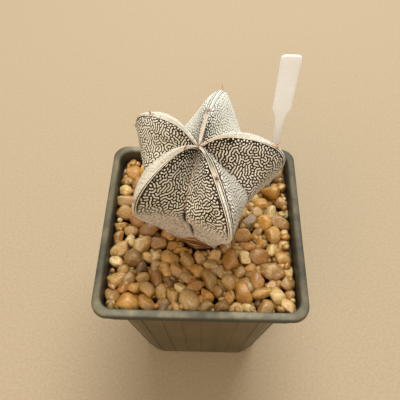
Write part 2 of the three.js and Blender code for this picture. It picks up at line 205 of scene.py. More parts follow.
def makeCamera():
    elevation, turn, roll = (np.radians(cameraPlace[name]) for name in ("elevation", "turn", "roll"))
    back = np.array([np.sin(turn) * np.cos(elevation), -np.cos(turn) * np.cos(elevation), np.sin(elevation)])
    level = np.cross(-back, (0, 0, 1))
    level /= np.linalg.norm(level)
    upright = np.cross(level, -back)
    right = np.cos(roll) * level + np.sin(roll) * upright
    up = np.cos(roll) * upright - np.sin(roll) * level
    aside = cameraPlace["aside"][0] * right + cameraPlace["aside"][1] * up
    place = np.array(cameraPlace["target"]) + back * cameraPlace["distance"] + aside
    data = bpy.data.cameras.new("camera")
    data.sensor_width = 36.0
    data.lens = data.sensor_width * cameraPlace["focal"] / cameraPlace["frame"]
    data.clip_start = 0.01
    camera = bpy.data.objects.new("camera", data)
    bpy.context.scene.collection.objects.link(camera)
    axes = Matrix(np.stack([right, up, back], 1).tolist()).to_4x4()
    camera.matrix_world = Matrix.Translation(Vector(place * mm)) @ axes
    bpy.context.scene.camera = camera


makeCamera()
print("camera placed")


# The pot

pot = {
    "height": 72.0, "rimHalf": 35.0, "rimCorner": 5.4, "rimDrop": 2.8, "rimEdge": 1.2,
    "mouthHalf": 32.3, "mouthEdge": 1.3, "collarDrop": 8.3, "wallTopHalf": 31.1, "baseHalf": 24.0,
    "wall": 0.9, "topCorner": 6.5, "baseCorner": 9.0, "floor": 1.2, "footHeight": 2.2, "footWidth": 3.6,
    "baseEdge": 0.7, "draft": 0.4, "drainRadius": 2.6, "drainOffset": 13.0,
    "notchWidth": 7.0, "notchHeight": 1.3,
    "ridges": 32, "ridgeHeight": 0.45, "ridgeHalfWidth": 0.55, "ridgeStart": 3.0,
    "ridgeSamples": 9, "flatSamples": 12, "ridgeShape": 1.2,
    "middle": 40.0,  # the height at which the ridges are spaced evenly
    "centreHalf": 3.0,  # the floor is closed by fans from here in
}
collarBottom = pot["height"] - pot["collarDrop"]
collarCorner = pot["rimCorner"] - 1
floorTop = pot["footHeight"] + pot["floor"]


def wallHalf(z):
    return pot["baseHalf"] + (pot["wallTopHalf"] - pot["baseHalf"]) * z / pot["height"]


def wallCorner(z):
    return pot["baseCorner"] + (pot["topCorner"] - pot["baseCorner"]) * z / pot["height"]


# A corner of a path is replaced by the quadratic curve between two points at the corner's softness from it.
def softPath(corners, steps=5):
    corners = np.array(corners, float)
    rows = [corners[0][:-1]]
    t = np.linspace(0, 1, steps)[:, None]
    for before, here, after in zip(corners[:-2], corners[1:-1], corners[2:]):
        soft = here[-1]
        ways = [(end[:-1] - here[:-1]) / np.linalg.norm(end[:-1] - here[:-1]) for end in (before, after)]
        start, end = (here[:-1] + way * soft for way in ways)
        rows.extend((1 - t) ** 2 * start + 2 * t * (1 - t) * here[:-1] + t ** 2 * end)
    rows.append(corners[-1][:-1])
    return np.array(rows)


# Points round a square with round corners, walked evenly along its perimeter from the middle of a side.
# On a side the distance past the straight stretch is turned into an angle round the corner's centre.
def squareRing(half, corner, z, shares, out):
    flat = half - corner
    quarter = 2 * flat + corner * np.pi / 2
    side = np.round(shares * 4)
    along = (shares * 4 - side) * quarter
    angle = np.sign(along) * np.maximum(0, np.abs(along) - flat) / corner
    x = flat + (corner + out) * np.cos(angle)
    y = np.clip(along, -flat, flat) + (corner + out) * np.sin(angle)
    turn = side * np.pi / 2
    return np.stack([x * np.cos(turn) - y * np.sin(turn), x * np.sin(turn) + y * np.cos(turn), x * 0 + z], -1)


# The wall's section as one path of (half width, corner radius, height, share of the ridges, softness), from
# under the floor out to the standing edge, up the outside, over the rim and down the inside.
def potPath():
    height, edge, draft, wall = (pot[name] for name in ("height", "baseEdge", "draft", "wall"))
    footInner = pot["baseHalf"] - pot["footWidth"]
    footCorner = pot["baseCorner"] - pot["footWidth"]
    rimUnder = height - pot["rimDrop"]
    slopeStart = collarBottom - 2 * wall

    def outside(z, ridge, soft):
        return (wallHalf(z), wallCorner(z), z, ridge, soft)

    def inside(z, inset, soft):
        return (wallHalf(z) - wall - inset, wallCorner(z) - wall - inset, z, 0, soft)

    collarHalf = pot["mouthHalf"] + wall
    collarRound = collarCorner + wall
    return [
        (pot["centreHalf"], pot["centreHalf"], pot["footHeight"], 0, 0),
        (footInner - draft, footCorner, pot["footHeight"], 0, 0.5),
        (footInner, footCorner, 0, 0, 0.2),
        (pot["baseHalf"] - edge, pot["baseCorner"] - edge, 0, 0, 0.3),
        outside(edge, 0, 0.3),
        outside(pot["ridgeStart"], 1, 0.3),
        outside(slopeStart, 1, 0.2),
        outside(slopeStart + 0.3, 1, 0.1),
        (collarHalf - draft, collarRound - draft, collarBottom - 0.2, 0, 0.15),
        (collarHalf, collarRound, collarBottom + draft, 0, 0.2),
        (collarHalf, collarRound, rimUnder + draft / 2, 0, 0.15),
        (pot["rimHalf"] - draft, pot["rimCorner"] - draft, rimUnder, 0, 0.15),
        (pot["rimHalf"], pot["rimCorner"], rimUnder + draft, 0, 0.25),
        (pot["rimHalf"], pot["rimCorner"], height, 0, pot["rimEdge"]),
        (pot["mouthHalf"], collarCorner, height, 0, pot["mouthEdge"]),
        (pot["mouthHalf"] - draft, collarCorner - draft, collarBottom + wall, 0, 0.3),
        inside(collarBottom - draft, 0, 0.6),
        inside(floorTop, 0, 1.0),
        (pot["centreHalf"], pot["centreHalf"], floorTop, 0, 0),
    ]


def potBody():
    samples, ridges = pot["ridgeSamples"], pot["ridges"]
    straight, corner = wallHalf(pot["middle"]), wallCorner(pot["middle"])
    pitch = (8 * (straight - corner) + 2 * np.pi * corner) / ridges
    onRidge = np.linspace(-1, 1, samples) * pot["ridgeHalfWidth"] / pitch
    offRidge = np.linspace(onRidge[-1], 1 - onRidge[-1], pot["flatSamples"] + 2)[1:-1]
    offsets = np.concatenate([onRidge, offRidge])
    shares = (np.arange(ridges)[:, None] + offsets[None, :]).ravel() / ridges
    bump = np.cos(np.linspace(-1, 1, samples) * np.pi / 2) ** pot["ridgeShape"]
    bump = np.tile(np.concatenate([bump, offRidge * 0]), ridges)
    rings = [squareRing(half, corner, z, shares, ridge * pot["ridgeHeight"] * bump)
             for half, corner, z, ridge in softPath(potPath())]
    return closeRings(np.array(rings), (0, 0, pot["footHeight"]), (0, 0, floorTop))


# A round upright bar, used to cut the drain holes.
def bar(x, y, radius, low, high, sides=40):
    angle = np.arange(sides) / sides * 2 * np.pi
    ring = np.stack([x + radius * np.cos(angle), y + radius * np.sin(angle)], -1)
    rings = np.stack([np.column_stack([ring, np.full(sides, z)]) for z in (low, high)])
    return closeRings(rings)


def block(x, y, z):
    ring = np.array([(x, y), (-x, y), (-x, -y), (x, -y)])
    return closeRings(np.stack([np.column_stack([ring, np.full(4, level)]) for level in (-z, z)]))


# Takes the cutter's bodies out of a piece, and leaves the result as the piece's own mesh.
def cutAway(piece, bodies):
    for number, (points, triangles) in enumerate(bodies):
        cutter = newPiece(f"cutter{number}", points, triangles, piece.data.materials[0])
        modifier = piece.modifiers.new("cut", "BOOLEAN")
        modifier.solver = "MANIFOLD"
        modifier.operation = "DIFFERENCE"
        modifier.object = cutter
    bpy.context.view_layer.update()
    evaluated = piece.evaluated_get(bpy.context.evaluated_depsgraph_get())
    mesh = bpy.data.meshes.new_from_object(evaluated)
    body = bmesh.new()
    body.from_mesh(mesh)
    bmesh.ops.dissolve_degenerate(body, dist=1e-7, edges=body.edges)
    bmesh.ops.triangulate(body, faces=body.faces)
    body.to_mesh(mesh)
    body.free()
    cutters = [modifier.object for modifier in piece.modifiers]
    piece.modifiers.clear()
    piece.data = mesh
    for cutter in cutters:
        bpy.data.objects.remove(cutter)


# Injection-moulded recycled polypropylene: a satin, faintly mottled skin, dark grey-green on the collar and
# the rim's sides, with painted shade there under and inside the rim, and browner in runs down the walls,
# partly a brown film and partly painted warm light reflected from the floor, with a film of dust on what
# faces up.
def potPlastic():
    material, tree = newMaterial("moulded_polypropylene")
    place = addNode(tree, "TexCoord", output="Object")
    facing = addNode(tree, "NewGeometry", output="Normal")
    upwards = addNode(tree, "SeparateXYZ", links={0: facing}, output="Z")
    alongX, _, alongZ = addNode(tree, "SeparateXYZ", links={0: place}).node.outputs
    cloud, grit, patch = (
        addNode(tree, "TexNoise", {"Scale": perGrain(size), "Detail": detail, "Roughness": rough},
                {"Vector": place})
        for size, detail, rough in ((7.7, 5.0, 0.6), (0.67, 3.0, 0.7), (16.0, 3.0, 0.5)))
    grain = [perGrain(size) for size in (7.7, 7.7, 20)]
    streaks = addNode(tree, "Mapping", {"Scale": grain}, {"Vector": place})
    run = addNode(tree, "TexNoise", {"Scale": 1.0, "Detail": 4.0, "Roughness": 0.65}, {"Vector": streaks})
    # the walls, and the collar above them, with places in metres
    # the walls' brown runs: partly a brown film, partly painted warm light reflected from the floor
    stained = addNode(tree, "ValToRGB", {"stops": [(0.3, "#5f4e31"), (0.5, "#665536"), (0.7, "#6e5d3e")]},
                      {"Fac": run})
    thin = addNode(tree, "MapRange", {"From Min": 0.4, "From Max": 0.62, "To Max": 0.35}, {"Value": patch})
    patchy = addNode(tree, "Mix", {"data_type": "RGBA", 7: colour("#3b392f")}, {0: thin, 6: stained})
    across = addNode(tree, "MapRange", {"From Min": -0.035, "From Max": 0.035}, {"Value": alongX})
    # painted shade: above about 60 mm the collar, the rim's sides and the tops of the inner walls take this
    # dark plastic, darkened as if under and inside the rim, a little warmer at the left side
    collarPlasticAndShade = addNode(tree, "ValToRGB", {"stops": [(0.02, "#37322a"), (0.1, "#2d2c22"), (1.0, "#2b2b22")]},
                   {"Fac": across})
    collar = addNode(tree, "MapRange", {"From Min": 0.0595, "From Max": 0.0625}, {"Value": alongZ})
    wallsAndShadedCollar = addNode(tree, "Mix", {"data_type": "RGBA"}, {0: collar, 6: patchy, 7: collarPlasticAndShade})
    # dust on what faces up, the film darker towards the pot's left and right sides
    dustTones = [(0.3, "#4f5145"), (0.46, "#716d5a"), (0.62, "#8e876f"), (0.78, "#b3a98b")]
    dusty = addNode(tree, "ValToRGB", {"stops": dustTones}, {"Fac": cloud})
    sideTones = [(0.03, "#c2beaa"), (0.12, "#ffffff"), (0.88, "#ffffff"), (0.97, "#b3aea4")]
    tinted = addNode(tree, "ValToRGB", {"stops": sideTones}, {"Fac": across})
    settled = addNode(tree, "Mix", {"data_type": "RGBA", "blend_type": "MULTIPLY", 0: 1.0},
                      {6: dusty, 7: tinted})
    film = addNode(tree, "MapRange", {"From Max": 0.85}, {"Value": upwards})
    speckled = addNode(tree, "Math", {"operation": "MULTIPLY_ADD", 1: 0.5, 2: -0.25}, {0: grit})
    dust = addNode(tree, "Math", {"operation": "ADD", "use_clamp": True}, {0: film, 1: speckled})
    body = addNode(tree, "Mix", {"data_type": "RGBA"}, {0: dust, 6: wallsAndShadedCollar, 7: settled})
    rough = addNode(tree, "MapRange", {"To Min": 0.42, "To Max": 0.68}, {"Value": dust})
    bump = addNode(tree, "Bump", {"Strength": 0.25, "Distance": 0.0001}, {"Height": grit})
    endMaterial(tree, {"IOR": 1.49, "Specular IOR Level": 0.45},
                {"Base Color": body, "Roughness": rough, "Normal": bump})
    return material


def makePot():
    piece = newPiece("pot_shell", *potBody(), potPlastic())
    offset = pot["drainOffset"]
    places = [(0, 0), (offset, offset), (-offset, offset), (-offset, -offset), (offset, -offset)]
    past = 2.0  # how far the cutters reach past the outside
    bodies = [bar(x, y, pot["drainRadius"], -past, 2 * floorTop) for x, y in places]
    across = pot["baseHalf"] + past
    bodies.append(block(pot["notchWidth"] / 2, across, pot["notchHeight"]))
    bodies.append(block(across, pot["notchWidth"] / 2, pot["notchHeight"]))
    cutAway(piece, bodies)
    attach(piece, "root")
    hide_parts("pot")
    print("pot:", len(piece.data.polygons), "faces")


makePot()


# The soil and the gravel

soil = {"top": 60.8, "gap": 0.35}

gravel = {
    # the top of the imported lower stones, and how deep the upper ones lie in them at the foot and at the wall
    "bedTop": 65.2, "atFoot": 1.6, "atWall": 0.8, "spread": 0.2, "gap": 0.35,
    # their least and greatest radius, the power that makes large ones few, and their sizes in radii
    "seed": 20117, "low": 2.1, "high": 3.5, "fewLarge": 1.4,
    "long": (1.0, 1.3), "wide": (0.75, 0.95), "tall": (0.62, 0.85), "tilt": 0.4,
    "cover": 0.86, "passes": 60, "footClearance": 9.0, "labelClearance": 0.6, "wallClearance": 0.35,
    "upperCuts": 3, "upperSeeds": (23, 11), "upperRoll": 0.35,
    # each stone's flats: their number, distances in radii, and how sharp the edges between them are
    "flats": 9, "flatReach": (0.56, 0.96), "sharpness": 16.0, "swell": 1.16,
    "wobble": (0.1, 1.5), "pits": (0.02, 0.45),  # height and wavelength in radii
    "tones": (0.04, 0.98), "shades": (0.69, 1.03),  # from stone to stone
    "shadeAtBottom": 0.32, "shadeFadesOver": (0.1, 0.85),  # painted shade at each one's bottom, and the heights in it where that fades out
    # smaller stones between and under them: number, radii, heights that they lie at, and fineness
    "between": (210, (1.1, 1.8), (63.6, 65.5), 1),
    "under": (300, (1.6, 2.5), (61.6, 63.6), 1),
    "clearOfRim": 2.6, "clearOfFoot": 1.0, "looseRoll": 0.7,
    "looseSizes": ((0.95, 0.75, 0.65), (1.25, 0.95, 0.85)),
    # rings of them round the foot and along the wall: number, radii, heights, how uneven their spacing is,
    # and how far off their middles are, in radii
    "footRing": (26, (1.1, 1.5), (63.4, 65.0), 0.2, 1.25),
    "wallRing": (76, (1.0, 1.5), (65.0, 67.0), 0.3, 1.5),
    "ringGap": 0.5,
    "stoneReach": 1.45,  # how far a loose stone can reach from its middle, in radii
    "wallGap": 0.12,
}

plant = {
    "apex": (-1.3, 5.1, 107.5),
    "lean": (-0.026, 0.114),
    "azimuths": (-136.9, -69.4, 4.3, 74.5, 142.5),
    "scales": (0.955, 1.01, 0.985, 1.145, 0.98),
    "crest": [(0, 0), (2.3, 1.6), (6.2, 3), (11.5, 3.2), (18.9, 1.6), (25.2, -2),
              (27.8, -7.6), (25.8, -13.8), (20.3, -21.7), (15, -30.7), (11, -37.4), (8, -40.5)],
    "valley": [(0, 0), (1.8, -1.3), (4.1, -2.5), (9, -3.9), (14, -6.4), (17.6, -9.6),
               (17.5, -13.4), (14.2, -18.6), (11.4, -25.5), (9.9, -32), (8.9, -37.6), (8, -40.5)],
    "navel": 0.3, "crestRadius": 0.9, "crestDraw": 0.6, "edgeFadeIn": 0.08,
    "faceSwell": 2.3, "swellFadeIn": 0.25, "swellFadeOut": (0.28, 0.55),
    "rootRadius": 4.6, "footRadius": 7.4, "rootEnd": 52.0,
    # from point to point of the skin, above and below these places on the way down
    "spacing": 0.221, "lowerSpacing": 0.9, "coarserFrom": (0.55, 0.68),
    "fleckHeight": 0.06, "creaseDepth": 0.3,
}

label = {
    "centre": (24.75, 22.0), "top": 127.8, "headWidth": 6.1, "headBottomWidth": 5.8, "headBottom": 108.0,
    "headCorner": 1.4, "neckWidth": 3.2, "neckHeight": 102.5, "stemWidth": 2.3, "stemTop": 93.0,
    "pointTop": 42.0, "end": 36.0, "pointWidth": 0.9, "flare": 0.1, "thickness": 0.7, "edgeRound": 0.16,
}

foot = tuple(plant["apex"][i] + plant["lean"][i] * plant["crest"][-1][1] for i in (0, 1))


# The stones' places and turns, drawn in the same order as in the solids: dropped at random, then pushed apart
# one pair at a time until they lie side by side.
def layStones():
    state = gravel["seed"]

    def draw(low, high):
        nonlocal state
        state = (state * 1664525 + 1013904223) % 4294967296
        return low + (high - low) * state / 4294967296

    half = pot["mouthHalf"] - gravel["wallClearance"]
    straight = pot["mouthHalf"] - collarCorner
    openArea = 4 * half * half - np.pi * gravel["footClearance"] ** 2
    stones = []
    covered = 0.0
    while covered < gravel["cover"] * openArea:
        radius = gravel["low"] + (gravel["high"] - gravel["low"]) * draw(0, 1) ** gravel["fewLarge"]
        stones.append([draw(-half, half), draw(-half, half), radius])
        covered += np.pi * radius * radius

    def pushFrom(stone, x, y, distance):
        dx, dy = stone[0] - x, stone[1] - y
        reach = (dx * dx + dy * dy) ** 0.5
        if reach < distance:
            stone[0] += dx * (distance - reach) / reach
            stone[1] += dy * (distance - reach) / reach

    for _ in range(gravel["passes"]):
        for i, a in enumerate(stones):
            for b in stones[i + 1:]:
                dx, dy = a[0] - b[0], a[1] - b[1]
                reach = (dx * dx + dy * dy) ** 0.5
                short = a[2] + b[2] - reach
                if short > 0:
                    dx, dy = dx * short / 2 / reach, dy * short / 2 / reach
                    a[0] += dx
                    a[1] += dy
                    b[0] -= dx
                    b[1] -= dy
        for stone in stones:
            pushFrom(stone, *foot, gravel["footClearance"] + stone[2])
            halfStem = label["stemWidth"] / 2
            onStem = label["centre"][0] + min(max(stone[0] - label["centre"][0], -halfStem), halfStem)
            pushFrom(stone, onStem, label["centre"][1], gravel["labelClearance"] + stone[2])
            reach = half - stone[2]
            stone[0] = min(max(stone[0], -reach), reach)
            stone[1] = min(max(stone[1], -reach), reach)
            inX, inY = abs(stone[0]) - straight, abs(stone[1]) - straight
            away = (inX * inX + inY * inY) ** 0.5
            past = away + stone[2] - collarCorner
            if inX > 0 and inY > 0 and past > 0:
                stone[0] -= np.sign(stone[0]) * past * inX / away
                stone[1] -= np.sign(stone[1]) * past * inY / away
    turns = []
    for _ in stones:
        sizes = [draw(*gravel[name]) for name in ("long", "wide", "tall")]
        lift = draw(-gravel["spread"], gravel["spread"])
        # the solids turn each ball twice here, before they stretch it
        draw(0, 1)
        draw(0, 1)
        tilt = draw(-gravel["tilt"], gravel["tilt"])
        turns.append([*sizes, lift, tilt, draw(0, 2 * np.pi)])
    return np.array(stones), np.array(turns)


# Points moved in, straight across, so that they lie at least a gap inside the pot's inner wall.
def keepInside(points, gap):
    wall = pot["wall"]
    sharpest = 0.1  # the least radius of a corner
    levels = np.array([0, collarBottom - wall, collarBottom + wall, pot["height"]])
    mouth, draft = pot["mouthHalf"], pot["draft"]
    halves = [wallHalf(levels[0]) - wall, wallHalf(levels[1]) - wall, mouth - draft, mouth]
    corners = [wallCorner(levels[0]) - wall, wallCorner(levels[1]) - wall, collarCorner - draft, collarCorner]
    half = (np.interp(points[..., 2], levels, halves) - gap)[..., None]
    corner = np.maximum(sharpest, np.interp(points[..., 2], levels, corners) - gap)[..., None]
    spots = np.clip(points[..., :2], -half, half)
    over = np.maximum(0, np.abs(spots) - (half - corner))
    length = np.maximum(np.linalg.norm(over, axis=-1, keepdims=True), corner)
    spots = np.sign(spots) * (np.abs(spots) - over * (1 - corner / length))
    return np.concatenate([spots, points[..., 2:]], -1)


# Worn pebbles: a ball seen along each direction n is drawn in to the smooth minimum of h / (n . a) over flats
# with directions a and distances h, so that each has broad worn faces with round edges between them. The
# balls are then stretched, rolled about Y, tilted about X and turned about Z. Each is one tone, with painted
# shade low down, where it lies among the others.
def pebbles(places, radii, sizes, rolls, tilts, turns, cuts, seed):
    random = np.random.default_rng(seed)
    ball, triangles = unitBall(cuts)
    count = len(radii)
    number = np.arange(count)[:, None, None]
    ways = random.normal(size=(count, gravel["flats"], 3))
    ways /= np.linalg.norm(ways, axis=2, keepdims=True)
    heights = random.uniform(*gravel["flatReach"], (count, gravel["flats"], 1))
    towards = np.maximum(np.einsum("skx,vx->skv", ways, ball), 0) / heights
    reach = (1 + (towards ** gravel["sharpness"]).sum(1)) ** (-1 / gravel["sharpness"])
    (wobble, wobbleLength), (pit, pitLength) = gravel["wobble"], gravel["pits"]
    # each stone lies at its own place in the waves
    wobbles = wobble * ripple(ball[None] + number * 7.0, wobbleLength, seed)
    pits = pit * ripple(ball[None] + number * 5.0, pitLength, seed + 1)
    shapes = ball[None] * (reach * (1 + wobbles + pits))[..., None] * gravel["swell"]
    shapes = shapes * (sizes * radii[:, None])[:, None, :]
    for first, second, angle in ((2, 0, rolls), (1, 2, tilts), (0, 1, turns)):
        cosine, sine = np.cos(angle)[:, None], np.sin(angle)[:, None]
        a, b = shapes[..., first].copy(), shapes[..., second].copy()
        shapes[..., first] = a * cosine - b * sine
        shapes[..., second] = a * sine + b * cosine
    shapes[..., 2] -= shapes[..., 2].min(1)[:, None]
    # painted shade: each stone is darker towards its bottom, where it lies in among the others
    bottomShade = gravel["shadeAtBottom"]
    height = shapes[..., 2] / shapes[..., 2].max(1)[:, None]
    shadeFactor = bottomShade + (1 - bottomShade) * smoothStep(*gravel["shadeFadesOver"], height)
    shapes = keepInside(shapes + places[:, None, :], gravel["wallGap"])
    attributes = {"tone": np.repeat(random.uniform(*gravel["tones"], count), len(ball)),
                  "light": (shadeFactor * random.uniform(*gravel["shades"], (count, 1))).ravel()}
    return shapes.reshape(-1, 3), (triangles[None] + number * len(ball)).reshape(-1, 3), attributes


# River-worn quartz pebbles: each stone its own honey, tan, ochre or brown, cloudy inside and a little
# translucent, with a sugary, pitted skin and iron stains in its hollows.
def pebbleStone():
    material, tree = newMaterial("river_pebbles")
    place = addNode(tree, "TexCoord", output="Object")
    tone = addNode(tree, "Attribute", {"attribute_name": "tone"}, output="Fac")
    light = addNode(tree, "Attribute", {"attribute_name": "light"}, output="Fac")
    mottle, fine = (
        addNode(tree, "TexNoise", {"Scale": perGrain(size), "Detail": 4.0, "Roughness": rough},
                {"Vector": place}) for size, rough in ((2.4, 0.6), (0.67, 0.75)))
    stains = addNode(tree, "TexNoise", {"Scale": perGrain(1.3), "Detail": 3.0, "Distortion": 0.8},
                     {"Vector": place})
    shifted = addNode(tree, "Math", {"operation": "MULTIPLY_ADD", 1: 0.36, 2: -0.18}, {0: mottle})
    mixed = addNode(tree, "Math", {"operation": "ADD"}, {0: tone, 1: shifted})
    stops = [(0.0, "#6b5834"), (0.05, "#a07d44"), (0.12, "#b88f4c"), (0.24, "#c99c4f"), (0.38, "#dcb572"),
             (0.5, "#c49041"), (0.62, "#dca549"), (0.74, "#b67f3b"), (0.83, "#d6af67"), (0.93, "#e8ce90"),
             (1.0, "#c08f50")]
    stone = addNode(tree, "ValToRGB", {"stops": stops}, {"Fac": mixed})
    # painted shade and glow: what is low in each stone is deeper in colour as well as darker, as if lit
    # through it
    depth = addNode(tree, "ValToRGB", {"stops": [(0.25, "#eeb173"), (0.8, "#ffffff")]}, {"Fac": light})
    shadedStone = addNode(tree, "Mix", {"data_type": "RGBA", "blend_type": "MULTIPLY", 0: 1.0},
                   {6: stone, 7: depth})
    speck = addNode(tree, "MapRange", {"From Min": 0.32, "From Max": 0.68, "To Min": 0.62, "To Max": 1.16},
                    {"Value": fine})
    level = addNode(tree, "Math", {"operation": "MULTIPLY"}, {0: light, 1: speck})
    scaled = addNode(tree, "VectorMath", {"operation": "SCALE"}, {0: shadedStone, "Scale": level})
    stained = addNode(tree, "MapRange", {"From Min": 0.56, "From Max": 0.7, "To Max": 0.3}, {"Value": stains})
    skinned = addNode(tree, "Mix", {"data_type": "RGBA", 7: colour("#7d4d24")}, {0: stained, 6: scaled})
    rough = addNode(tree, "MapRange", {"To Min": 0.25, "To Max": 0.55}, {"Value": mottle})
    bump = addNode(tree, "Bump", {"Strength": 0.6, "Distance": 0.0003}, {"Height": fine})
    endMaterial(tree, {"IOR": 1.54, "Subsurface Weight": 0.5, "Subsurface Radius": (1.0, 0.6, 0.28),
                       "Subsurface Scale": 0.0018, "Specular IOR Level": 0.5, "Coat Weight": 0.25,
                       "Coat Roughness": 0.15}, {"Base Color": skinned, "Roughness": rough, "Normal": bump})
    return material


# Loose stones at random places clear of the foot, as one piece, with rings of them round the foot and along
# the wall where those are asked for.
def scatterStones(name, material, random, count, radii, heights, cuts, rings=False):
    half = pot["mouthHalf"] - gravel["clearOfRim"]
    clear = gravel["footClearance"] + gravel["clearOfFoot"]
    spots = random.uniform(-half, half, (count, 2))
    spots = spots[np.hypot(spots[:, 0] - foot[0], spots[:, 1] - foot[1]) > clear]
    places = np.column_stack([spots, random.uniform(*heights, len(spots))])
    radii = random.uniform(*radii, len(spots))
    if rings:
        count, sizes, heights, stray, away = gravel["footRing"]
        near = random.uniform(*sizes, count)
        angle = (np.arange(count) + random.uniform(-stray, stray, count)) * 2 * np.pi / count
        reach = plant["footRadius"] + gravel["ringGap"] + away * near
        x, y = foot[0] + reach * np.cos(angle), foot[1] + reach * np.sin(angle)
        byFoot = [x, y, random.uniform(*heights, count)]
        count, sizes, heights, stray, away = gravel["wallRing"]
        besides = random.uniform(*sizes, count)
        shares = (np.arange(count) + random.uniform(-stray, stray, count)) / count
        heights = random.uniform(*heights, count)
        inset = -away * besides - gravel["ringGap"]
        byWall = squareRing(pot["mouthHalf"], collarCorner, heights, shares, inset)
        places = np.concatenate([places, np.column_stack(byFoot), byWall])
        radii = np.concatenate([radii, near, besides])
    places = keepInside(places, gravel["stoneReach"] * radii)
    count = len(places)
    sizes = random.uniform(*gravel["looseSizes"], (count, 3))
    rolls, tilts = random.uniform(-gravel["looseRoll"], gravel["looseRoll"], (2, count))
    turns = random.uniform(0, 2 * np.pi, count)
    points, triangles, attributes = pebbles(places, radii, sizes, rolls, tilts, turns, cuts, count)
    return newPiece(name, points, triangles, material, attributes)


def makeGravel():
    material = pebbleStone()
    stones, turns = layStones()
    outwards = np.minimum(1, np.hypot(stones[:, 0] - foot[0], stones[:, 1] - foot[1]) / pot["mouthHalf"])
    rise = (gravel["atFoot"] - gravel["atWall"]) * outwards
    places = np.column_stack([stones[:, :2], gravel["bedTop"] - gravel["atFoot"] + rise + turns[:, 3]])
    scatterSeed, shapeSeed = gravel["upperSeeds"]
    random = np.random.default_rng(scatterSeed)
    rolls = random.uniform(-gravel["upperRoll"], gravel["upperRoll"], len(stones))
    points, triangles, attributes = pebbles(places, stones[:, 2], turns[:, :3], rolls, turns[:, 4],
                                            turns[:, 5], gravel["upperCuts"], shapeSeed)
    upper = newPiece("gravel_upper", points, triangles, material, attributes)
    between = scatterStones("gravel_between", material, random, *gravel["between"], rings=True)
    lower = scatterStones("gravel_lower", material, random, *gravel["under"])
    for piece in (upper, between, lower):
        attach(piece, "root")
        print(piece.name + ":", len(piece.data.polygons), "faces")
    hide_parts("gravel")


# Peat and grit: a dark, dull crumb.
def peat():
    material, tree = newMaterial("peat_soil")
    place = addNode(tree, "TexCoord", output="Object")
    crumb = addNode(tree, "TexVoronoi", {"Scale": perGrain(1.4)}, {"Vector": place})
    tint = addNode(tree, "TexNoise", {"Scale": perGrain(2.0), "Detail": 5.0}, {"Vector": place})
    brown = addNode(tree, "ValToRGB", {"stops": [(0.3, "#1c140e"), (0.55, "#35271b"), (0.75, "#4d3a28")]},
                    {"Fac": tint})
    bump = addNode(tree, "Bump", {"Strength": 0.8, "Distance": 0.0006}, {"Height": crumb})
    endMaterial(tree, {"Roughness": 0.95, "Specular IOR Level": 0.2}, {"Base Color": brown, "Normal": bump})
    return material


def dressSoil():
    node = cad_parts["potting_soil"]
    node.data.materials.clear()
    node.data.materials.append(peat())
    print("soil: dressed")


makeGravel()
dressSoil()


# The plant

# A uniform Catmull-Rom curve through points, with its end points doubled.
def splineCurve(points, at):
    points = np.array(points, float)
    last = len(points) - 1
    walk = last * at
    here = np.minimum(np.floor(walk).astype(int), last - 1)
    t = (walk - here)[..., None]
    p0, p1, p2, p3 = (points[np.clip(here + k, 0, last)] for k in (-1, 0, 1, 2))
    v0, v1 = (p2 - p0) / 2, (p3 - p1) / 2
    return (2 * p1 - 2 * p2 + v0 + v1) * t ** 3 + (3 * p2 - 3 * p1 - 2 * v0 - v1) * t ** 2 + v0 * t + p1


# Points, outward normals and directions down of a crest or a valley, in its upright plane. The ribs come to
# one size at the foot.
def meridian(line, at, azimuth, scale):
    point = splineCurve(plant[line], at) * (1 + (scale - 1) * (1 - at ** 4))[..., None]
    delta = 0.0001
    above, below = np.maximum(at - delta, 0), np.minimum(at + delta, 1)
    slope = splineCurve(plant[line], below) - splineCurve(plant[line], above)
    slope /= np.linalg.norm(slope, axis=-1, keepdims=True)
    along, rise = slope[..., 0], slope[..., 1]

    def place(r, z):
        return np.stack([r * np.cos(azimuth), r * np.sin(azimuth), z], -1)

    return place(point[..., 0], point[..., 1]), place(-rise, along), place(along, rise)


def edgeRadius(at):
    return plant["crestRadius"] * np.minimum(1, at / plant["edgeFadeIn"])


def leaning(points):
    x, y, z = (points[..., i] for i in range(3))
    apex, lean = plant["apex"], plant["lean"]
    return np.stack([apex[0] + x + lean[0] * z, apex[1] + y + lean[1] * z, apex[2] + z], -1)


# A face's points for pairs of at, the way down, and share, the way from crest to valley: on the straight
# line from crest to valley, drawn in at the crest by its rounding, and swollen outwards by the height of the
# swelling times 27/4 share (1 - share)^2, which is 1 at its highest.
def facePoints(crest, valley, at, share):
    (crestPoint, crestNormal, _), (valleyPoint, valleyNormal, _) = crest, valley
    width = np.linalg.norm(crestPoint - valleyPoint, axis=-1)
    distance = share * width
    drawnIn = np.hypot(distance, edgeRadius(at)) - distance
    outward = crestNormal + valleyNormal
    outward /= np.linalg.norm(outward, axis=-1, keepdims=True)
    height = plant["faceSwell"] * np.minimum(1, at / plant["swellFadeIn"])
    height = height * (1 - smoothStep(*plant["swellFadeOut"], at))
    swell = height * 27 / 4 * share * (1 - share) ** 2
    points = crestPoint + (valleyPoint - crestPoint) * share[:, None]
    points = points - plant["crestDraw"] * drawnIn[:, None] * crestNormal + swell[:, None] * outward
    return leaning(points), outward, distance, (1 - share) * width


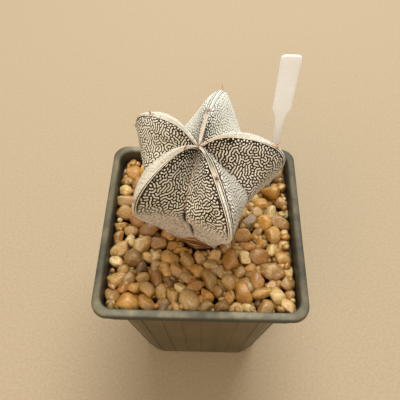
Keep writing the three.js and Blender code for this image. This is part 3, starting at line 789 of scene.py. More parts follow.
skin = {
    "period": 0.86,  # millimetres from fleck to fleck, before the stretch
    "nearStretch": 0.14, "farReach": 34.0,  # how much finer the flecks are at the apex, and where that ends
    # the pattern's simulation: grid, margin, steps, how fast it grows, and the noise that it grows from
    "cell": 0.14, "margin": 2.0, "steps": 70, "timeStep": 0.4, "drive": 0.35, "firstNoise": 0.3,
    "kick": 0.26, "kickBand": 0.35,  # how far fixed noise upsets it, and how broad a band of waves that has
    # what makes dots of stripes: everywhere, more in the middle of a face, and how wide that middle is
    "dots": (0.98, 0.32, 11.0),
    # how strongly the worms lie across each face, from crest to valley, or where it is negative along it
    "grain": ((0.0, -0.06), (0.12, 0.0), (0.07, 0.05), (0.0, 0.0), (0.05, 0.06)),
    # the pattern starts this far from the crest, over this width; and how much wider the cream band is on
    # each side of each rib
    "crestLines": 1.6, "crestFade": (0.9, 0.5),
    "crestBand": ((0.35, 0.4), (0.02, 0.02), (0.1, 0.4), (0.02, 0.02), (0.25, 0.15)),
    # painted sky light on the down, how dark the lines by the crest are, and painted shade on the down
    "bloom": ((0.6, 0.0), (0.0, 0.35), (0.0, 0.6), (0.75, 0.75), (0.6, 0.1)),
    "lines": ((0.1, 1.0), (1.0, 1.0), (1.0, 0.3), (0.75, 0.8), (0.1, 1.0)),
    "worn": ((0.55, 0.45), (0.0, 0.25), (0.05, 0.2), (0.15, 0.1), (0.35, 0.05)),
    # for each rib, the face before its crest going anticlockwise and the face after it, near the apex and at
    # the widest place: how much of the face the pale flecks cover, and how dark the gaps between them are
    "cover": (((0.56, 0.62), (0.31, 0.38)), ((0.33, 0.42), (0.46, 0.54)), ((0.32, 0.39), (0.55, 0.62)),
              ((0.39, 0.66), (0.39, 0.68)), ((0.56, 0.62), (0.38, 0.48))),
    "dark": (((0.6, 0.35), (1.0, 1.0)), ((1.0, 1.0), (0.85, 0.8)), ((1.0, 1.0), (0.8, 0.6)),
             ((1.15, 0.5), (1.2, 0.45)), ((0.8, 0.6), (1.0, 0.95))),
    "nearToFar": (0.06, 0.46),  # those two places on the way down
    # uneven patches: their width, and how far they change the cover and the darkness
    "patches": 9.0, "patchCover": 0.07, "patchDark": 0.12,
    "sharpness": 0.35,  # the rise of the pattern over its level that counts as 1
    # the strips of wool along each crest: where they start and end on the way down, and how strong they are;
    # then how softly they end, how far they reach to the side, and the waves in their edges
    "wool": (((0.15, 0.21, 0.9), (0.47, 0.49, 0.6)), ((0.28, 0.335, 0.8), (0.63, 0.65, 0.6)),
             ((0.05, 0.225, 0.85), (0.42, 0.44, 0.7)), ((0.05, 0.262, 0.85), (0.41, 0.43, 0.5)),
             ((0.03, 0.06, 0.5), (0.36, 0.385, 0.6))),
    "woolFade": (0.015, 0.01), "woolReach": (0.6, 0.95), "woolWaves": (0.25, 1.2),
    # where the flecks give way to speckled flank, the crest's lines end, and the cork starts; the waves in
    # two of those borders, as height on the way down, wavelength and a number for their seed; and how much
    # sooner the flank starts towards the valley, from which share of the face
    "lowStart": (0.46, 0.62), "linesEnd": (0.5, 0.62), "corkStart": (0.795, 0.855),
    "lowWaves": ((0.035, 3.5, 70), (0.02, 1.6, 90)), "lowTilt": (0.05, 0.4),
    "corkWaves": ((0.02, 4.0, 61), (0.014, 1.5, 62)),
    # how strong the rusty line is in the valley after each rib, its width, where it ends, how broken it is,
    # and how far it spreads round the apex
    "rust": (0.6, 0.3, 0.25, 0.25, 0.3),
    "rustWidth": 0.75, "rustEnd": (0.5, 0.6), "rustBreaks": (0.65, 0.6, 3.0), "rustApex": 0.035,
    # and the dark crease below it, with its width and strength as middle, swing and wavelength
    "creases": (1.0, 0.3, 0.3, 0.3, 0.45),
    "creaseWidth": (0.5, 0.2, 1.3), "creaseStrength": (1.1, 0.4, 2.0),
    "creaseStart": (0.38, 0.47), "creaseEnd": (0.75, 0.83),
    # the rib whose crest is split by a dark line, where, and its width and how softly it ends
    "groove": (1, 0.15, 0.3), "grooveWidth": 0.16, "grooveFade": 0.03,
}


# The flecks' pattern over a flat sheet: du/dt = drive u - (1 + laplacian / k^2)^2 u + dots u^2 - u^3 + kick
# makes stripes of one width, and dots where the square's factor is large. It is worked out in steps with the
# linear part exact in wave numbers. Where drive is negative, the pattern dies out. Waves along the damped
# direction grow less.
def fleckSheet(drive, dots, damped, damping, seed):
    random = np.random.default_rng(seed)
    rows, columns = drive.shape
    field = random.normal(0, skin["firstNoise"], (rows, columns))
    ky = 2 * np.pi * np.fft.fftfreq(rows, skin["cell"])
    kx = 2 * np.pi * np.fft.rfftfreq(columns, skin["cell"])
    ratio = (ky[:, None] ** 2 + kx[None, :] ** 2) / (2 * np.pi / skin["period"]) ** 2
    alongDamped = (ky[:, None] * damped[0] + kx[None, :] * damped[1]) / (2 * np.pi / skin["period"])
    keep = np.exp(-skin["timeStep"] * ((1 - ratio) ** 2 + damping * alongDamped ** 2))
    band = np.exp(-((ratio ** 0.5 - 1) / skin["kickBand"]) ** 2)
    noise = np.fft.irfft2(np.fft.rfft2(random.normal(0, 1, (rows, columns))) * band, s=drive.shape)
    noise *= skin["kick"] / noise.std()
    for _ in range(skin["steps"]):
        change = drive * field + dots * field ** 2 - field ** 3 + noise
        field = np.fft.irfft2(np.fft.rfft2(field + skin["timeStep"] * change) * keep, s=drive.shape)
    return field


# The sheet's values between its grid points, in proportion to how near each is.
def sampleSheet(sheet, rows, columns):
    low = np.clip(np.floor(rows).astype(int), 0, sheet.shape[0] - 2)
    left = np.clip(np.floor(columns).astype(int), 0, sheet.shape[1] - 2)
    v = np.clip(rows - low, 0, 1)
    u = np.clip(columns - left, 0, 1)
    near = sheet[low, left] * (1 - u) + sheet[low, left + 1] * u
    far = sheet[low + 1, left] * (1 - u) + sheet[low + 1, left + 1] * u
    return near * (1 - v) + far * v


# The pattern on one face. The face is laid out in the plane that fits its upper part best, with its distances
# from the apex stretched where the flecks are finer. Every seventh point is enough to find the plane, and
# every fourth one of the crest to find the distance to it.
def facePattern(points, at, share, bandWidth, grain, seed):
    upper = points[at < 0.7]
    axes = np.linalg.svd(upper[::7] - upper.mean(0), full_matrices=False)[2][:2]
    flat = (points - points[0]) @ axes.T
    reach = np.linalg.norm(flat, axis=-1, keepdims=True)
    flat = flat * (1 + skin["nearStretch"] * np.maximum(0, 1 - reach / skin["farReach"]))
    low = flat.min(0) - skin["margin"]
    size = np.ceil((flat.max(0) + skin["margin"] - low) / skin["cell"] / 8).astype(int) * 8
    lines = [np.arange(count) * skin["cell"] + start for count, start in zip(size, low)]
    grid = np.stack(np.meshgrid(*lines, indexing="ij"), -1)
    gap = np.full(grid.shape[:2], 1e9)
    for spot in flat[share == 0][::4]:
        gap = np.minimum(gap, ((grid - spot) ** 2).sum(-1))
    gap = gap ** 0.5
    start = skin["crestLines"] + bandWidth
    before, after = skin["crestFade"]
    drive = skin["drive"] * (smoothStep(start - before, start + after, gap) * 2 - 1)
    everywhere, more, width = skin["dots"]
    middle = flat[(at > 0.2) & (at < 0.4)].mean(0)
    dots = everywhere + more * np.exp(-((grid - middle) ** 2).sum(-1) / width ** 2)
    down = flat[(at > 0.35) & (at < 0.45)].mean(0) - flat[(at > 0.1) & (at < 0.2)].mean(0)
    down /= np.linalg.norm(down)
    damped = (-down[1], down[0]) if grain > 0 else down
    sheet = fleckSheet(drive, dots, damped, abs(grain), seed)
    rows, columns = ((flat[:, i] - low[i]) / skin["cell"] for i in (0, 1))
    return sampleSheet(sheet, rows, columns)


# The surface values at one face's points. fleck is the pattern over the level that leaves the wanted share of
# the face pale, dark is the depth of colour in the gaps, low is how far the flecks have given way to plain
# flank, and rust, crease, wool and cork are shares of those colours. The painted cool sky light on the down,
# the painted shade that dulls it, and plain are a face's own settings, crestGap is the distance to the crest
# less the cream band, and at is the way down.
def faceValues(points, at, share, crestGap, valleyGap, rib, side, valleyNumber, seed):
    bandWidth = skin["crestBand"][rib][side]
    pattern = facePattern(points, at, share, bandWidth, skin["grain"][rib][side], seed)
    down = smoothStep(*skin["nearToFar"], at)
    patch = ripple(points, skin["patches"], seed + 50)
    nearCover, farCover = skin["cover"][rib][side]
    cover = np.clip(nearCover + (farCover - nearCover) * down + skin["patchCover"] * patch, 0.05, 0.95)
    ranked = np.sort(pattern[(at > 0.1) & (at < 0.5)])
    level = np.interp(1 - cover, np.linspace(0, 1, len(ranked)), ranked)
    nearDark, farDark = skin["dark"][rib][side]
    dark = nearDark + (farDark - nearDark) * down + skin["patchDark"] * patch
    lowEdge, corkEdge = at, at
    for height, wavelength, number in skin["lowWaves"]:
        lowEdge = uneven(points, lowEdge, height, wavelength, seed + number)
    for height, wavelength, number in skin["corkWaves"]:
        corkEdge = uneven(points, corkEdge, height, wavelength, number)
    tilt, untilted = skin["lowTilt"]
    low = smoothStep(*skin["lowStart"], lowEdge + tilt * (share - untilted))
    broken = uneven(points, *skin["rustBreaks"], seed + 30)
    rust = np.exp(-(valleyGap / skin["rustWidth"]) ** 2) * (1 - smoothStep(*skin["rustEnd"], at))
    rust = rust * broken * skin["rust"][valleyNumber]
    rust = np.maximum(rust, np.exp(-(at / skin["rustApex"]) ** 2))
    creased = smoothStep(*skin["creaseStart"], at) * (1 - smoothStep(*skin["creaseEnd"], at))
    creased = creased * uneven(points, *skin["creaseStrength"], seed + 40)
    creaseWidth = uneven(points, *skin["creaseWidth"], 57)
    crease = skin["creases"][valleyNumber] * np.exp(-(valleyGap / creaseWidth) ** 2) * creased
    (grooved, grooveTop, grooveEnd), fade = skin["groove"], skin["grooveFade"]
    groove = np.exp(-(crestGap / skin["grooveWidth"]) ** 2) * smoothStep(grooveTop, grooveTop + fade, at)
    groove *= (1 - smoothStep(grooveEnd - fade, grooveEnd, at)) * (rib == grooved)
    wool = at * 0
    outer, inner = skin["woolFade"]
    for start, end, strength in skin["wool"][rib]:
        along = smoothStep(start - outer, start + inner, at) * (1 - smoothStep(end - inner, end + outer, at))
        wool = np.maximum(wool, along * strength)
    wool *= 1 - smoothStep(*skin["woolReach"], uneven(points, crestGap, *skin["woolWaves"], seed + 10))
    return {"fleck": (pattern - level) / skin["sharpness"], "dark": dark, "low": low,
            "cork": smoothStep(*skin["corkStart"], corkEdge), "rust": rust, "wool": wool, "at": at,
            "bloom": at * 0 + skin["bloom"][rib][side], "worn": at * 0 + skin["worn"][rib][side],
            "plain": np.maximum(smoothStep(*skin["linesEnd"], at), 1 - skin["lines"][rib][side]),
            "crestGap": crestGap - bandWidth * smoothStep(0, bandWidth, crestGap),
            "crease": np.maximum(crease, groove)}


def skinSpacing(at):
    coarser = smoothStep(*plant["coarserFrom"], at)
    return plant["spacing"] + (plant["lowerSpacing"] - plant["spacing"]) * coarser


# How far down the crest each row of points lies.
def crestWalk():
    fine = np.linspace(0, 1, 4001)
    step = np.linalg.norm(np.diff(splineCurve(plant["crest"], fine), axis=0), axis=1)
    walk = np.concatenate([[0], np.cumsum(step / skinSpacing((fine[1:] + fine[:-1]) / 2))])
    return np.interp(np.linspace(0, walk[-1], round(walk[-1]) + 1), walk, fine)[1:]


# Triangles between rows of points that run the same way but hold different counts. Each edge of a row takes
# the point of its neighbour row that lies as far along.
def zipRows(starts, counts):
    strips = []
    for start, n, following, m in zip(starts[:-1], counts[:-1], starts[1:], counts[1:]):
        j, i = np.arange(n), np.arange(m)
        strips.append(np.stack([start + j, start + j + 1, following + (j + 1) * m // n], -1))
        strips.append(np.stack([start + ((i + 1) * n - 1) // m, following + i + 1, following + i], -1))
    return np.concatenate(strips)


# The body above the soil: ten faces of rows that are as finely cut as they are wide, sewn together along the
# crests and valleys. Gives its points, triangles, values, and the numbers of its first and last rings.
def plantFaces():
    azimuths = np.radians(plant["azimuths"])
    scales = np.array(plant["scales"])
    rowAt = crestWalk()
    points, triangles, values, columns = [], [], {}, {}
    total = 0
    for i in range(5):
        j = (i + 1) % 5
        turnTo = azimuths[j] + (2 * np.pi if azimuths[j] < azimuths[i] else 0)
        for rib, azimuth, side in ((i, azimuths[i], 1), (j, turnTo, 0)):
            ends = (("crest", azimuth, scales[rib]),
                    ("valley", (azimuths[i] + turnTo) / 2, (scales[i] + scales[j]) / 2))
            widths = np.subtract(*(meridian(line, rowAt, *way)[0] for line, *way in ends))
            counts = np.maximum(2, np.ceil(np.linalg.norm(widths, axis=1) / skinSpacing(rowAt))).astype(int)
            at = np.repeat(rowAt, counts + 1)
            share = np.concatenate([np.arange(n + 1) / n for n in counts])
            crest, valley = (meridian(line, at, *way) for line, *way in ends)
            place, outward, crestGap, valleyGap = facePoints(crest, valley, at, share)
            parts = faceValues(place, at, share, crestGap, valleyGap, rib, side, i, 100 + 2 * i + side)
            # flecks stand up and creases go in, but nothing moves at the crests, where faces are sewn
            free = smoothStep(0.2, 0.8, crestGap)
            raised = smoothStep(-0.8, 0.8, parts["fleck"]) * (1 - parts["low"]) * free
            raised = raised * smoothStep(0.2, 0.6, valleyGap)
            place = place + (plant["fleckHeight"] * raised)[:, None] * outward
            place = place - (plant["creaseDepth"] * parts["crease"] * free)[:, None] * valley[1]
            starts = total + np.concatenate([[0], np.cumsum(counts + 1)[:-1]])
            strips = zipRows(starts, counts)
            triangles.append(strips if side else strips[:, ::-1])
            columns[i, side] = (starts, counts)
            points.append(place)
            for name, part in parts.items():
                values.setdefault(name, []).append(part)
            total += len(place)
    # a valley's points are the same ones for its two faces, and so are a crest's
    same = np.arange(total)
    for i in range(5):
        (nearStarts, nearCounts), (farStarts, farCounts) = columns[i, 1], columns[i, 0]
        same[farStarts + farCounts] = nearStarts + nearCounts
        same[farStarts] = columns[(i + 1) % 5, 1][0]
    kept, place = np.unique(same, return_inverse=True)
    rings = []
    for row in (0, -1):
        ring = []
        for i in range(5):
            (near, nearCount), (far, farCount) = ([line[row] for line in columns[i, side]] for side in (1, 0))
            ring += [near + np.arange(nearCount), far + np.arange(farCount, 0, -1)]
        rings.append(place.ravel()[np.concatenate(ring)])
    points = np.concatenate(points)[kept]
    values = {name: np.concatenate(parts)[kept] for name, parts in values.items()}
    return points, place.ravel()[np.concatenate(triangles)], values, rings


# The plant's skin: near-black green-brown tissue under cream flocks of down, which lie in dots and worms;
# cream crests with thin dark lines beside them; greyish, finely speckled flanks; rust-brown scars in the
# valleys, and cork at the foot. Dry and matt. Painted cool sky light whitens the down on the faces turned up
# and back, and painted shade dulls it face by face, most on the rib at the front left.
def cactusSkin():
    material, tree = newMaterial("flocked_skin")
    place = addNode(tree, "TexCoord", output="Object")
    names = ("fleck", "dark", "low", "cork", "rust", "crease", "wool", "crestGap", "at", "bloom", "plain",
             "worn")
    read = {name: addNode(tree, "Attribute", {"attribute_name": name}, output="Fac") for name in names}
    fine, patch = (
        addNode(tree, "TexNoise", {"Scale": perGrain(size), "Detail": 3.0, "Roughness": rough},
                {"Vector": place}) for size, rough in ((0.48, 0.7), (5.3, 0.5)))
    wobble = addNode(tree, "TexNoise", {"Scale": perGrain(1.9), "Detail": 2.0}, {"Vector": place})
    pale = addNode(tree, "ValToRGB", {"stops": [(0.32, "#dcd1b6"), (0.68, "#f8f1de")]}, {"Fac": patch})
    # painted light and shade, face by face: cool sky light whitens the down, and shade dulls it
    for name, tone in (("bloom", "#f4f8ec"), ("worn", "#a89c80")):
        pale = addNode(tree, "Mix", {"data_type": "RGBA", 7: colour(tone)}, {0: read[name], 6: pale})
    tissue = addNode(tree, "ValToRGB", {"stops": [(0.35, "#1f1306"), (0.65, "#36250f")]}, {"Fac": patch})
    flank = addNode(tree, "ValToRGB", {"stops": [(0.39, "#6a5846"), (0.46, "#e6d7c4"), (0.62, "#fff8ee")]},
                    {"Fac": fine})
    # a fleck's edge is frayed by fine noise
    frayed = addNode(tree, "Math", {"operation": "MULTIPLY_ADD", 1: 1.2, 2: -0.6}, {0: fine})
    edge = addNode(tree, "Math", {"operation": "ADD"}, {0: read["fleck"], 1: frayed})
    soft = {"interpolation_type": "SMOOTHSTEP", "From Min": -0.38, "From Max": 0.38}
    fleck = addNode(tree, "MapRange", soft, {"Value": edge})
    gaps = addNode(tree, "Mix", {"data_type": "RGBA"}, {0: read["dark"], 6: flank, 7: tissue})
    twoTone = addNode(tree, "Mix", {"data_type": "RGBA"}, {0: fleck, 6: gaps, 7: pale})
    # low on the flanks the flecks run together, and only a trace of them is left
    trace = addNode(tree, "MapRange", {"To Min": 1.0, "To Max": 0.78}, {"Value": read["low"]})
    traced = addNode(tree, "Math", {"operation": "MULTIPLY"}, {0: read["low"], 1: trace})
    body = addNode(tree, "Mix", {"data_type": "RGBA"}, {0: traced, 6: twoTone, 7: flank})
    # the crest: a cream band, then a dark, a cream and a dark line, in millimetres from its middle
    shift = addNode(tree, "Math", {"operation": "MULTIPLY_ADD", 1: 0.24, 2: -0.12}, {0: wobble})
    gap = addNode(tree, "Math", {"operation": "ADD"}, {0: read["crestGap"], 1: shift})
    scaled = addNode(tree, "Math", {"operation": "DIVIDE", 1: 3.0}, {0: gap})
    lines = [(0.0, 1.0), (0.14, 1.0), (0.16, 0.0), (0.26, 0.0), (0.29, 1.0), (0.38, 1.0), (0.41, 0.0),
             (0.54, 0.0)]
    line = addNode(tree, "ValToRGB", {"stops": lines}, {"Fac": scaled})
    kept = addNode(tree, "Math", {"operation": "MAXIMUM"}, {0: line, 1: read["plain"]})
    crestTint = addNode(tree, "Mix", {"data_type": "RGBA"}, {0: kept, 6: tissue, 7: pale})
    speckle = addNode(tree, "MapRange", {"From Min": 0.38, "From Max": 0.54, "To Min": 0.6, "To Max": 0.05},
                      {"Value": fine})
    speckled = addNode(tree, "Math", {"operation": "MULTIPLY"}, {0: speckle, 1: kept})
    crestColour = addNode(tree, "Mix", {"data_type": "RGBA"}, {0: speckled, 6: crestTint, 7: flank})
    near = addNode(tree, "MapRange", {"From Min": 1.6, "From Max": 1.75, "To Min": 1.0, "To Max": 0.0},
                   {"Value": gap})
    highUp = addNode(tree, "MapRange", {"From Min": 0.6, "From Max": 0.75, "To Min": 1.0, "To Max": 0.0},
                     {"Value": read["at"]})
    banded = addNode(tree, "Math", {"operation": "MULTIPLY"}, {0: near, 1: highUp})
    skinned = addNode(tree, "Mix", {"data_type": "RGBA"}, {0: banded, 6: body, 7: crestColour})
    for name, tone in (("wool", "#dccab2"), ("rust", "#8a6245"), ("crease", "#1c2115")):
        skinned = addNode(tree, "Mix", {"data_type": "RGBA", 7: colour(tone)}, {0: read[name], 6: skinned})
    # cork in layers that run round the foot
    grain = [perGrain(size) for size in (5.9, 5.9, 1.0)]
    layers = addNode(tree, "Mapping", {"Scale": grain}, {"Vector": place})
    bark = addNode(tree, "TexNoise", {"Scale": 1.0, "Detail": 4.0, "Roughness": 0.6}, {"Vector": layers})
    barkTones = [(0.34, "#3d2815"), (0.45, "#875a34"), (0.55, "#b8895a"), (0.66, "#dcbd94")]
    cork = addNode(tree, "ValToRGB", {"stops": barkTones}, {"Fac": bark})
    ragged = addNode(tree, "Math", {"operation": "MULTIPLY_ADD", 1: 1.6, 2: -0.8}, {0: wobble})
    corkEdge = addNode(tree, "Math", {"operation": "ADD"}, {0: read["cork"], 1: ragged})
    corked = addNode(tree, "MapRange", {"From Min": 0.42, "From Max": 0.6}, {"Value": corkEdge})
    whole = addNode(tree, "Mix", {"data_type": "RGBA"}, {0: corked, 6: skinned, 7: cork})
    rugged = addNode(tree, "Math", {"operation": "MULTIPLY", 1: 2.0}, {0: corked})
    relief = addNode(tree, "Math", {"operation": "MULTIPLY_ADD"}, {0: bark, 1: rugged, 2: fleck})
    bump = addNode(tree, "Bump", {"Strength": 0.45, "Distance": 0.00012}, {"Height": relief})
    endMaterial(tree, {"Roughness": 0.88, "IOR": 1.45, "Specular IOR Level": 0.06},
                {"Base Color": whole, "Normal": bump})
    return material


# The faces, closed above by a fan to the navel, and below by rings down through the soil to the root's end.
def makePlant():
    points, triangles, values, (first, last) = plantFaces()
    count = len(last)
    angle = np.arctan2(points[last, 1] - foot[1], points[last, 0] - foot[0])
    rootTop = soil["top"] + gravel["gap"]
    radii = np.array([plant["footRadius"], plant["rootRadius"], plant["rootRadius"]])[:, None]
    heights = np.array([rootTop + 1, rootTop, plant["rootEnd"]])[:, None]
    x, y = foot[0] + radii * np.cos(angle), foot[1] + radii * np.sin(angle)
    under = np.stack([x, y, heights + angle * 0], -1)
    tip = leaning(np.array([[0, 0, -plant["navel"]]]))
    bottom = np.array([[foot[0], foot[1], plant["rootEnd"]]])
    total = len(points)
    ids = np.concatenate([last, total + np.arange(3 * count)])
    sides = ids[ringTriangles(4, count)]
    lowest = ids[3 * count:]
    tipNumber = total + 3 * count
    apexFan = np.stack([np.full(len(first), tipNumber), np.roll(first, -1), first], -1)
    bottomFan = np.stack([np.full(count, tipNumber + 1), lowest, np.roll(lowest, -1)], -1)
    points = np.concatenate([points, under.reshape(-1, 3), tip, bottom])
    triangles = np.concatenate([triangles, sides, apexFan, bottomFan])
    attributes = {
        name: np.concatenate([part, np.tile(part[last], 3), [part[first].mean(), part[last].mean()]])
        for name, part in values.items()}
    piece = newPiece("cactus_body", points, triangles, cactusSkin(), attributes)
    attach(piece, "root")
    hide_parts("cactus")
    print("cactus:", len(piece.data.polygons), "faces")


makePlant()


# The areoles, and their spines

areoles = {
    # for each rib, from the apex down: place on the crest, size of the pad, and its spines, each with the
    # degrees that it leans down the crest and to the side, its length, and its paleness from 0 to 1
    "places": (
        ((0.18, 0.9, ((-4, 12, 3.0, 0.4), (-52, -6, 2.4, 0.45))), (0.48, 0.8, ((30, 15, 1.8, 0.6),)),
         (0.72, 0.7, ((20, -20, 1.6, 0.7),))),
        ((0.32, 0.9, ((-18, 4, 2.4, 0.0), (14, 28, 1.8, 0.1), (-40, -14, 1.8, 0.05), (0, -20, 2.0, 0.0))),
         (0.643, 0.9, ((40, 10, 1.7, 0.9), (5, -30, 1.5, 1.0))), (0.84, 0.6, ((10, 0, 1.3, 0.7),))),
        ((0.105, 0.8, ((6, -26, 2.2, 0.4), (-34, 14, 1.8, 0.45))),
         (0.43, 1.0, ((12, 4, 2.6, 0.62), (-5, -30, 1.4, 0.8))), (0.68, 0.7, ((20, 15, 1.6, 0.7),))),
        ((0.243, 1.0, ((-28, 16, 2.9, 0.0), (-6, -22, 2.2, 0.0), (20, 4, 1.7, 0.1))),
         (0.42, 0.8, ((12, 4, 2.3, 0.75),)), (0.69, 0.7, ((25, 0, 1.5, 0.7),))),
        ((0.373, 0.9, ((-12, 12, 1.8, 0.15), (32, -24, 1.4, 0.3))),
         (0.555, 0.8, ((25, 12, 2.4, 0.95), (-12, -20, 1.9, 1.0))), (0.79, 0.6, ((12, 8, 1.3, 0.7),))),
    ),
    "pad": (1.15, 0.72, 0.5),  # half its size down the crest, across it and out of it
    "lumps": (1, 0.16, 1.1),  # middle, swing and wavelength
    "seed": 41,
    # fibres: how they are spread over the pad, how deep their roots are, and how they stray and bend
    "fibres": 46, "fibreLength": (0.35, 0.8), "fibreSpread": (0.7, 0.5, 0.35), "fibreRoot": 0.85,
    "fibreStray": 0.35, "fibreBend": 0.14, "fibreRadius": 0.045,
    "spineRadius": 0.17, "spineWidths": (0.85, 1.1), "spineBend": 0.12,
    # rings, sides, and the power of the distance along it by which each thins out
    "fibreShape": (4, 3, 1.6), "spineShape": (9, 6, 1.5),
}


# Place and axes on a crest: down it, to its side and straight out of it.
def crestFrame(rib, at):
    at = np.array([at])
    point, normal, along = meridian("crest", at, np.radians(plant["azimuths"][rib]), plant["scales"][rib])
    centre = leaning(point - plant["crestDraw"] * edgeRadius(at)[:, None] * normal)[0]
    return centre, np.stack([along[0], np.cross(normal[0], along[0]), normal[0]])


# A thin tapered body from a root along a way, bent by a sideways shift that grows with the square of the way.
def thornBody(root, way, bend, radius, rings, sides, power):
    way = np.array(way)
    across = np.cross(way, (0.3, 0.5, 0.8))
    across /= np.linalg.norm(across)
    beside = np.cross(way / np.linalg.norm(way), across)
    t = np.linspace(0, 0.96, rings)[:, None, None]
    angle = np.arange(sides) / sides * 2 * np.pi
    circle = across * np.cos(angle)[:, None] + beside * np.sin(angle)[:, None]
    centre = root + way * t + bend * t ** 2
    return closeRings(centre + circle * radius * (1 - t ** power), None, root + way + bend)


# Sheep-like wool, felted in a pad with loose fibres: dull, soft-edged and pinkish tan.
def areoleWool():
    material, tree = newMaterial("areole_wool")
    place = addNode(tree, "TexCoord", output="Object")
    strands = addNode(tree, "TexNoise", {"Scale": perGrain(0.62), "Detail": 3.0, "Roughness": 0.7},
                      {"Vector": place})
    tint = addNode(tree, "ValToRGB", {"stops": [(0.3, "#8f6f57"), (0.5, "#c9a98d"), (0.7, "#e2cbb2")]},
                   {"Fac": strands})
    bump = addNode(tree, "Bump", {"Strength": 0.7, "Distance": 0.0002}, {"Height": strands})
    endMaterial(tree, {"Roughness": 0.95, "Sheen Weight": 0.4, "Sheen Roughness": 0.5,
                       "Specular IOR Level": 0.15}, {"Base Color": tint, "Normal": bump})
    return material


# Horny spines, from nearly black through red-brown to straw, darker in bands along them, with a dull shine.
def spineHorn():
    material, tree = newMaterial("spine_horn")
    place = addNode(tree, "TexCoord", output="Object")
    tone = addNode(tree, "Attribute", {"attribute_name": "tone"}, output="Fac")
    bands = addNode(tree, "TexNoise", {"Scale": perGrain(1.1), "Detail": 2.0}, {"Vector": place})
    banded = addNode(tree, "Math", {"operation": "MULTIPLY_ADD", 1: 0.3, 2: -0.15}, {0: bands})
    mixed = addNode(tree, "Math", {"operation": "ADD"}, {0: tone, 1: banded})
    stops = [(0.0, "#2a110a"), (0.25, "#5d2616"), (0.5, "#9c4c2b"), (0.75, "#cd8a55"), (1.0, "#e8d4ab")]
    tint = addNode(tree, "ValToRGB", {"stops": stops}, {"Fac": mixed})
    endMaterial(tree, {"IOR": 1.54, "Roughness": 0.4}, {"Base Color": tint})
    return material


def makeAreoles():
    random = np.random.default_rng(areoles["seed"])
    ball, faces = unitBall(2)
    wool, spines, tones = [], [], []
    for rib, places in enumerate(areoles["places"]):
        for at, size, leans in places:
            centre, axes = crestFrame(rib, at)
            lumps = uneven(ball + 9 * at, *areoles["lumps"], int(1000 * at), waves=7)
            wool.append((centre + (ball * lumps[:, None] * areoles["pad"] * size) @ axes, faces))
            for _ in range(areoles["fibres"]):
                spot = random.normal(size=3) * areoles["fibreSpread"]
                spot[2] = abs(spot[2])
                spot /= np.linalg.norm(spot)
                root = centre + (spot * areoles["pad"] * size * areoles["fibreRoot"]) @ axes
                way = (spot + random.normal(0, areoles["fibreStray"], 3)) @ axes
                way = way * random.uniform(*areoles["fibreLength"])
                bend = random.normal(0, areoles["fibreBend"], 3)
                wool.append(thornBody(root, way, bend, areoles["fibreRadius"], *areoles["fibreShape"]))
            for down, aside, length, paleness in leans:
                down, aside = np.radians((down, aside))
                way = np.array([np.sin(down) * np.cos(aside), np.sin(aside), np.cos(down) * np.cos(aside)])
                bend = random.normal(0, areoles["spineBend"], 3) * length / 2
                radius = areoles["spineRadius"] * random.uniform(*areoles["spineWidths"])
                body = thornBody(centre, way @ axes * length, bend, radius, *areoles["spineShape"])
                spines.append(body)
                tones.append(np.full(len(body[0]), paleness))
    toned = {"tone": np.concatenate(tones)}
    for name, bodies, material, attributes in (("areole_wool", wool, areoleWool(), None),
                                               ("areole_spines", spines, spineHorn(), toned)):
        piece = newPiece(name, *joinBodies(bodies), material, attributes)
        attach(piece, "root")
        print(name + ":", len(piece.data.polygons), "faces")


makeAreoles()


# The label

# Moulded white polystyrene: satin and faintly translucent.
def labelPlastic():
    material, tree = newMaterial("white_polystyrene")
    place = addNode(tree, "TexCoord", output="Object")
    haze = addNode(tree, "TexNoise", {"Scale": perGrain(6.2), "Detail": 4.0}, {"Vector": place})
    tint = addNode(tree, "ValToRGB", {"stops": [(0.3, "#f5f1e9"), (0.7, "#fdfbf6")]}, {"Fac": haze})
    rough = addNode(tree, "MapRange", {"To Min": 0.35, "To Max": 0.5}, {"Value": haze})
    endMaterial(tree, {"IOR": 1.55, "Subsurface Weight": 0.8, "Subsurface Radius": (1.0, 0.96, 0.88),
                       "Subsurface Scale": 0.0025, "Specular IOR Level": 0.5},
                {"Base Color": tint, "Roughness": rough})
    return material


# Half of the outline from the point up to the head's round corner, as (half width, height).
def labelEdge():
    stem, head = label["stemWidth"] / 2, label["headBottomWidth"] / 2
    headBottom, neckHeight, stemTop = (label[name] for name in ("headBottom", "neckHeight", "stemTop"))
    neck = [(stem, stemTop), (stem + label["flare"], (neckHeight + stemTop) / 2),
            (label["neckWidth"] / 2, neckHeight),
            (head - label["flare"], headBottom - (headBottom - neckHeight) / 3), (head, headBottom)]
    corner = label["headCorner"]
    angle = np.linspace(0, np.pi / 2, 9)
    top = np.stack([label["headWidth"] / 2 - corner + corner * np.cos(angle),
                    label["top"] - corner + corner * np.sin(angle)], -1)
    point = [(label["pointWidth"] / 2, label["end"]), (stem, label["pointTop"])]
    return np.concatenate([point, splineCurve(neck, np.linspace(0, 1, 17)), top])


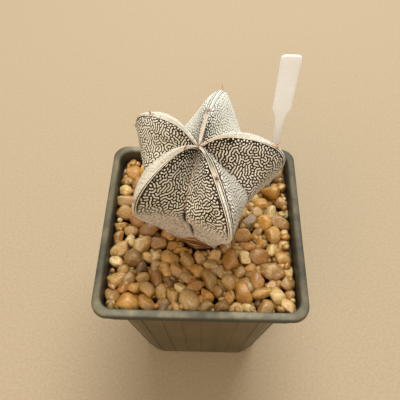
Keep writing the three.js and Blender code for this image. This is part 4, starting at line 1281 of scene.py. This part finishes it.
# The plate: rings of the outline drawn in by a quarter round at each face, its ends closed by strips between
# the two halves of the outline.
def makeLabel():
    edge = labelEdge()
    outline = np.concatenate([edge, (edge * (-1, 1))[::-1]])
    after, before = np.roll(outline, -1, 0), np.roll(outline, 1, 0)
    along = after - before
    inward = np.stack([-along[:, 1], along[:, 0]], -1) / np.linalg.norm(along, axis=1, keepdims=True)
    soft = label["edgeRound"]
    half = label["thickness"] / 2
    rings = []
    for angle in np.linspace(-np.pi / 2, np.pi / 2, 9):
        drawn = outline + inward * soft * (1 - np.cos(angle))
        depth = np.sign(angle) * (half - soft) + soft * np.sin(angle)
        x = label["centre"][0] + drawn[:, 0]
        y = label["centre"][1] + depth
        rings.append(np.stack([x, x * 0 + y, drawn[:, 1]], -1))
    rings = np.array(rings)
    rows, count = rings.shape[:2]
    near = np.arange(len(edge) - 1)
    strips = np.concatenate([np.stack([near, near + 1, count - 2 - near], -1),
                             np.stack([near, count - 2 - near, count - 1 - near], -1)])
    triangles = np.concatenate([ringTriangles(rows, count), strips[:, ::-1], strips + (rows - 1) * count])
    piece = newPiece("label_plate", rings.reshape(-1, 3), triangles, labelPlastic())
    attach(piece, "root")
    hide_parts("plant_label")
    print("label:", len(piece.data.polygons), "faces")


makeLabel()


# Floor, light and sky

stage = {
    "floorTones": ("#ab987a", "#b5a385"), "size": 1200.0, "sky": "#f3eee6", "skyStrength": 0.5,
    "lit": (0, 0, 0.08),  # what the lamps face, in metres
    # azimuth and elevation round the plant, distance and size in metres, power in watts, colour
    "window": (80, 60, 0.9, 0.7, 11.0, "#f3f6fa"),
    "frontLight": (-118, 44, 1.0, 0.8, 4.2, "#ffe6c9"),
}


def makeFloor():
    size = stage["size"]
    points = np.array([(-size, -size, 0), (size, -size, 0), (size, size, 0), (-size, size, 0)], float)
    material, tree = newMaterial("pale_floor")
    place = addNode(tree, "TexCoord", output="Object")
    grain = addNode(tree, "TexNoise", {"Scale": perGrain(1.1), "Detail": 3.0}, {"Vector": place})
    tint = addNode(tree, "ValToRGB", {"stops": list(zip((0.3, 0.7), stage["floorTones"]))}, {"Fac": grain})
    endMaterial(tree, {"Roughness": 0.9, "Specular IOR Level": 0.2}, {"Base Color": tint})
    floor = newPiece("floor", points, np.array([(0, 1, 2), (0, 2, 3)]), material)


# A round area lamp at an azimuth and elevation round the plant, facing it.
def addLamp(name, azimuth, elevation, distance, size, power, tone):
    data = bpy.data.lights.new(name, "AREA")
    data.shape = "DISK"
    data.size = size
    data.energy = power
    data.color = colour(tone)[:3]
    lamp = bpy.data.objects.new(name, data)
    bpy.context.scene.collection.objects.link(lamp)
    turn, rise = np.radians(azimuth), np.radians(elevation)
    way = Vector((np.cos(turn) * np.cos(rise), np.sin(turn) * np.cos(rise), np.sin(rise)))
    lamp.location = way * distance + Vector(stage["lit"])
    lamp.rotation_euler = way.to_track_quat("Z", "Y").to_euler()


makeFloor()
addLamp("window", *stage["window"])
addLamp("front_light", *stage["frontLight"])
world = bpy.data.worlds.new("sky")
bpy.context.scene.world = world
world.use_nodes = True
world.node_tree.nodes["Background"].inputs[0].default_value = colour(stage["sky"])
world.node_tree.nodes["Background"].inputs[1].default_value = stage["skyStrength"]
bpy.context.scene.view_settings.view_transform = "Standard"
print("floor, lamps and sky placed")
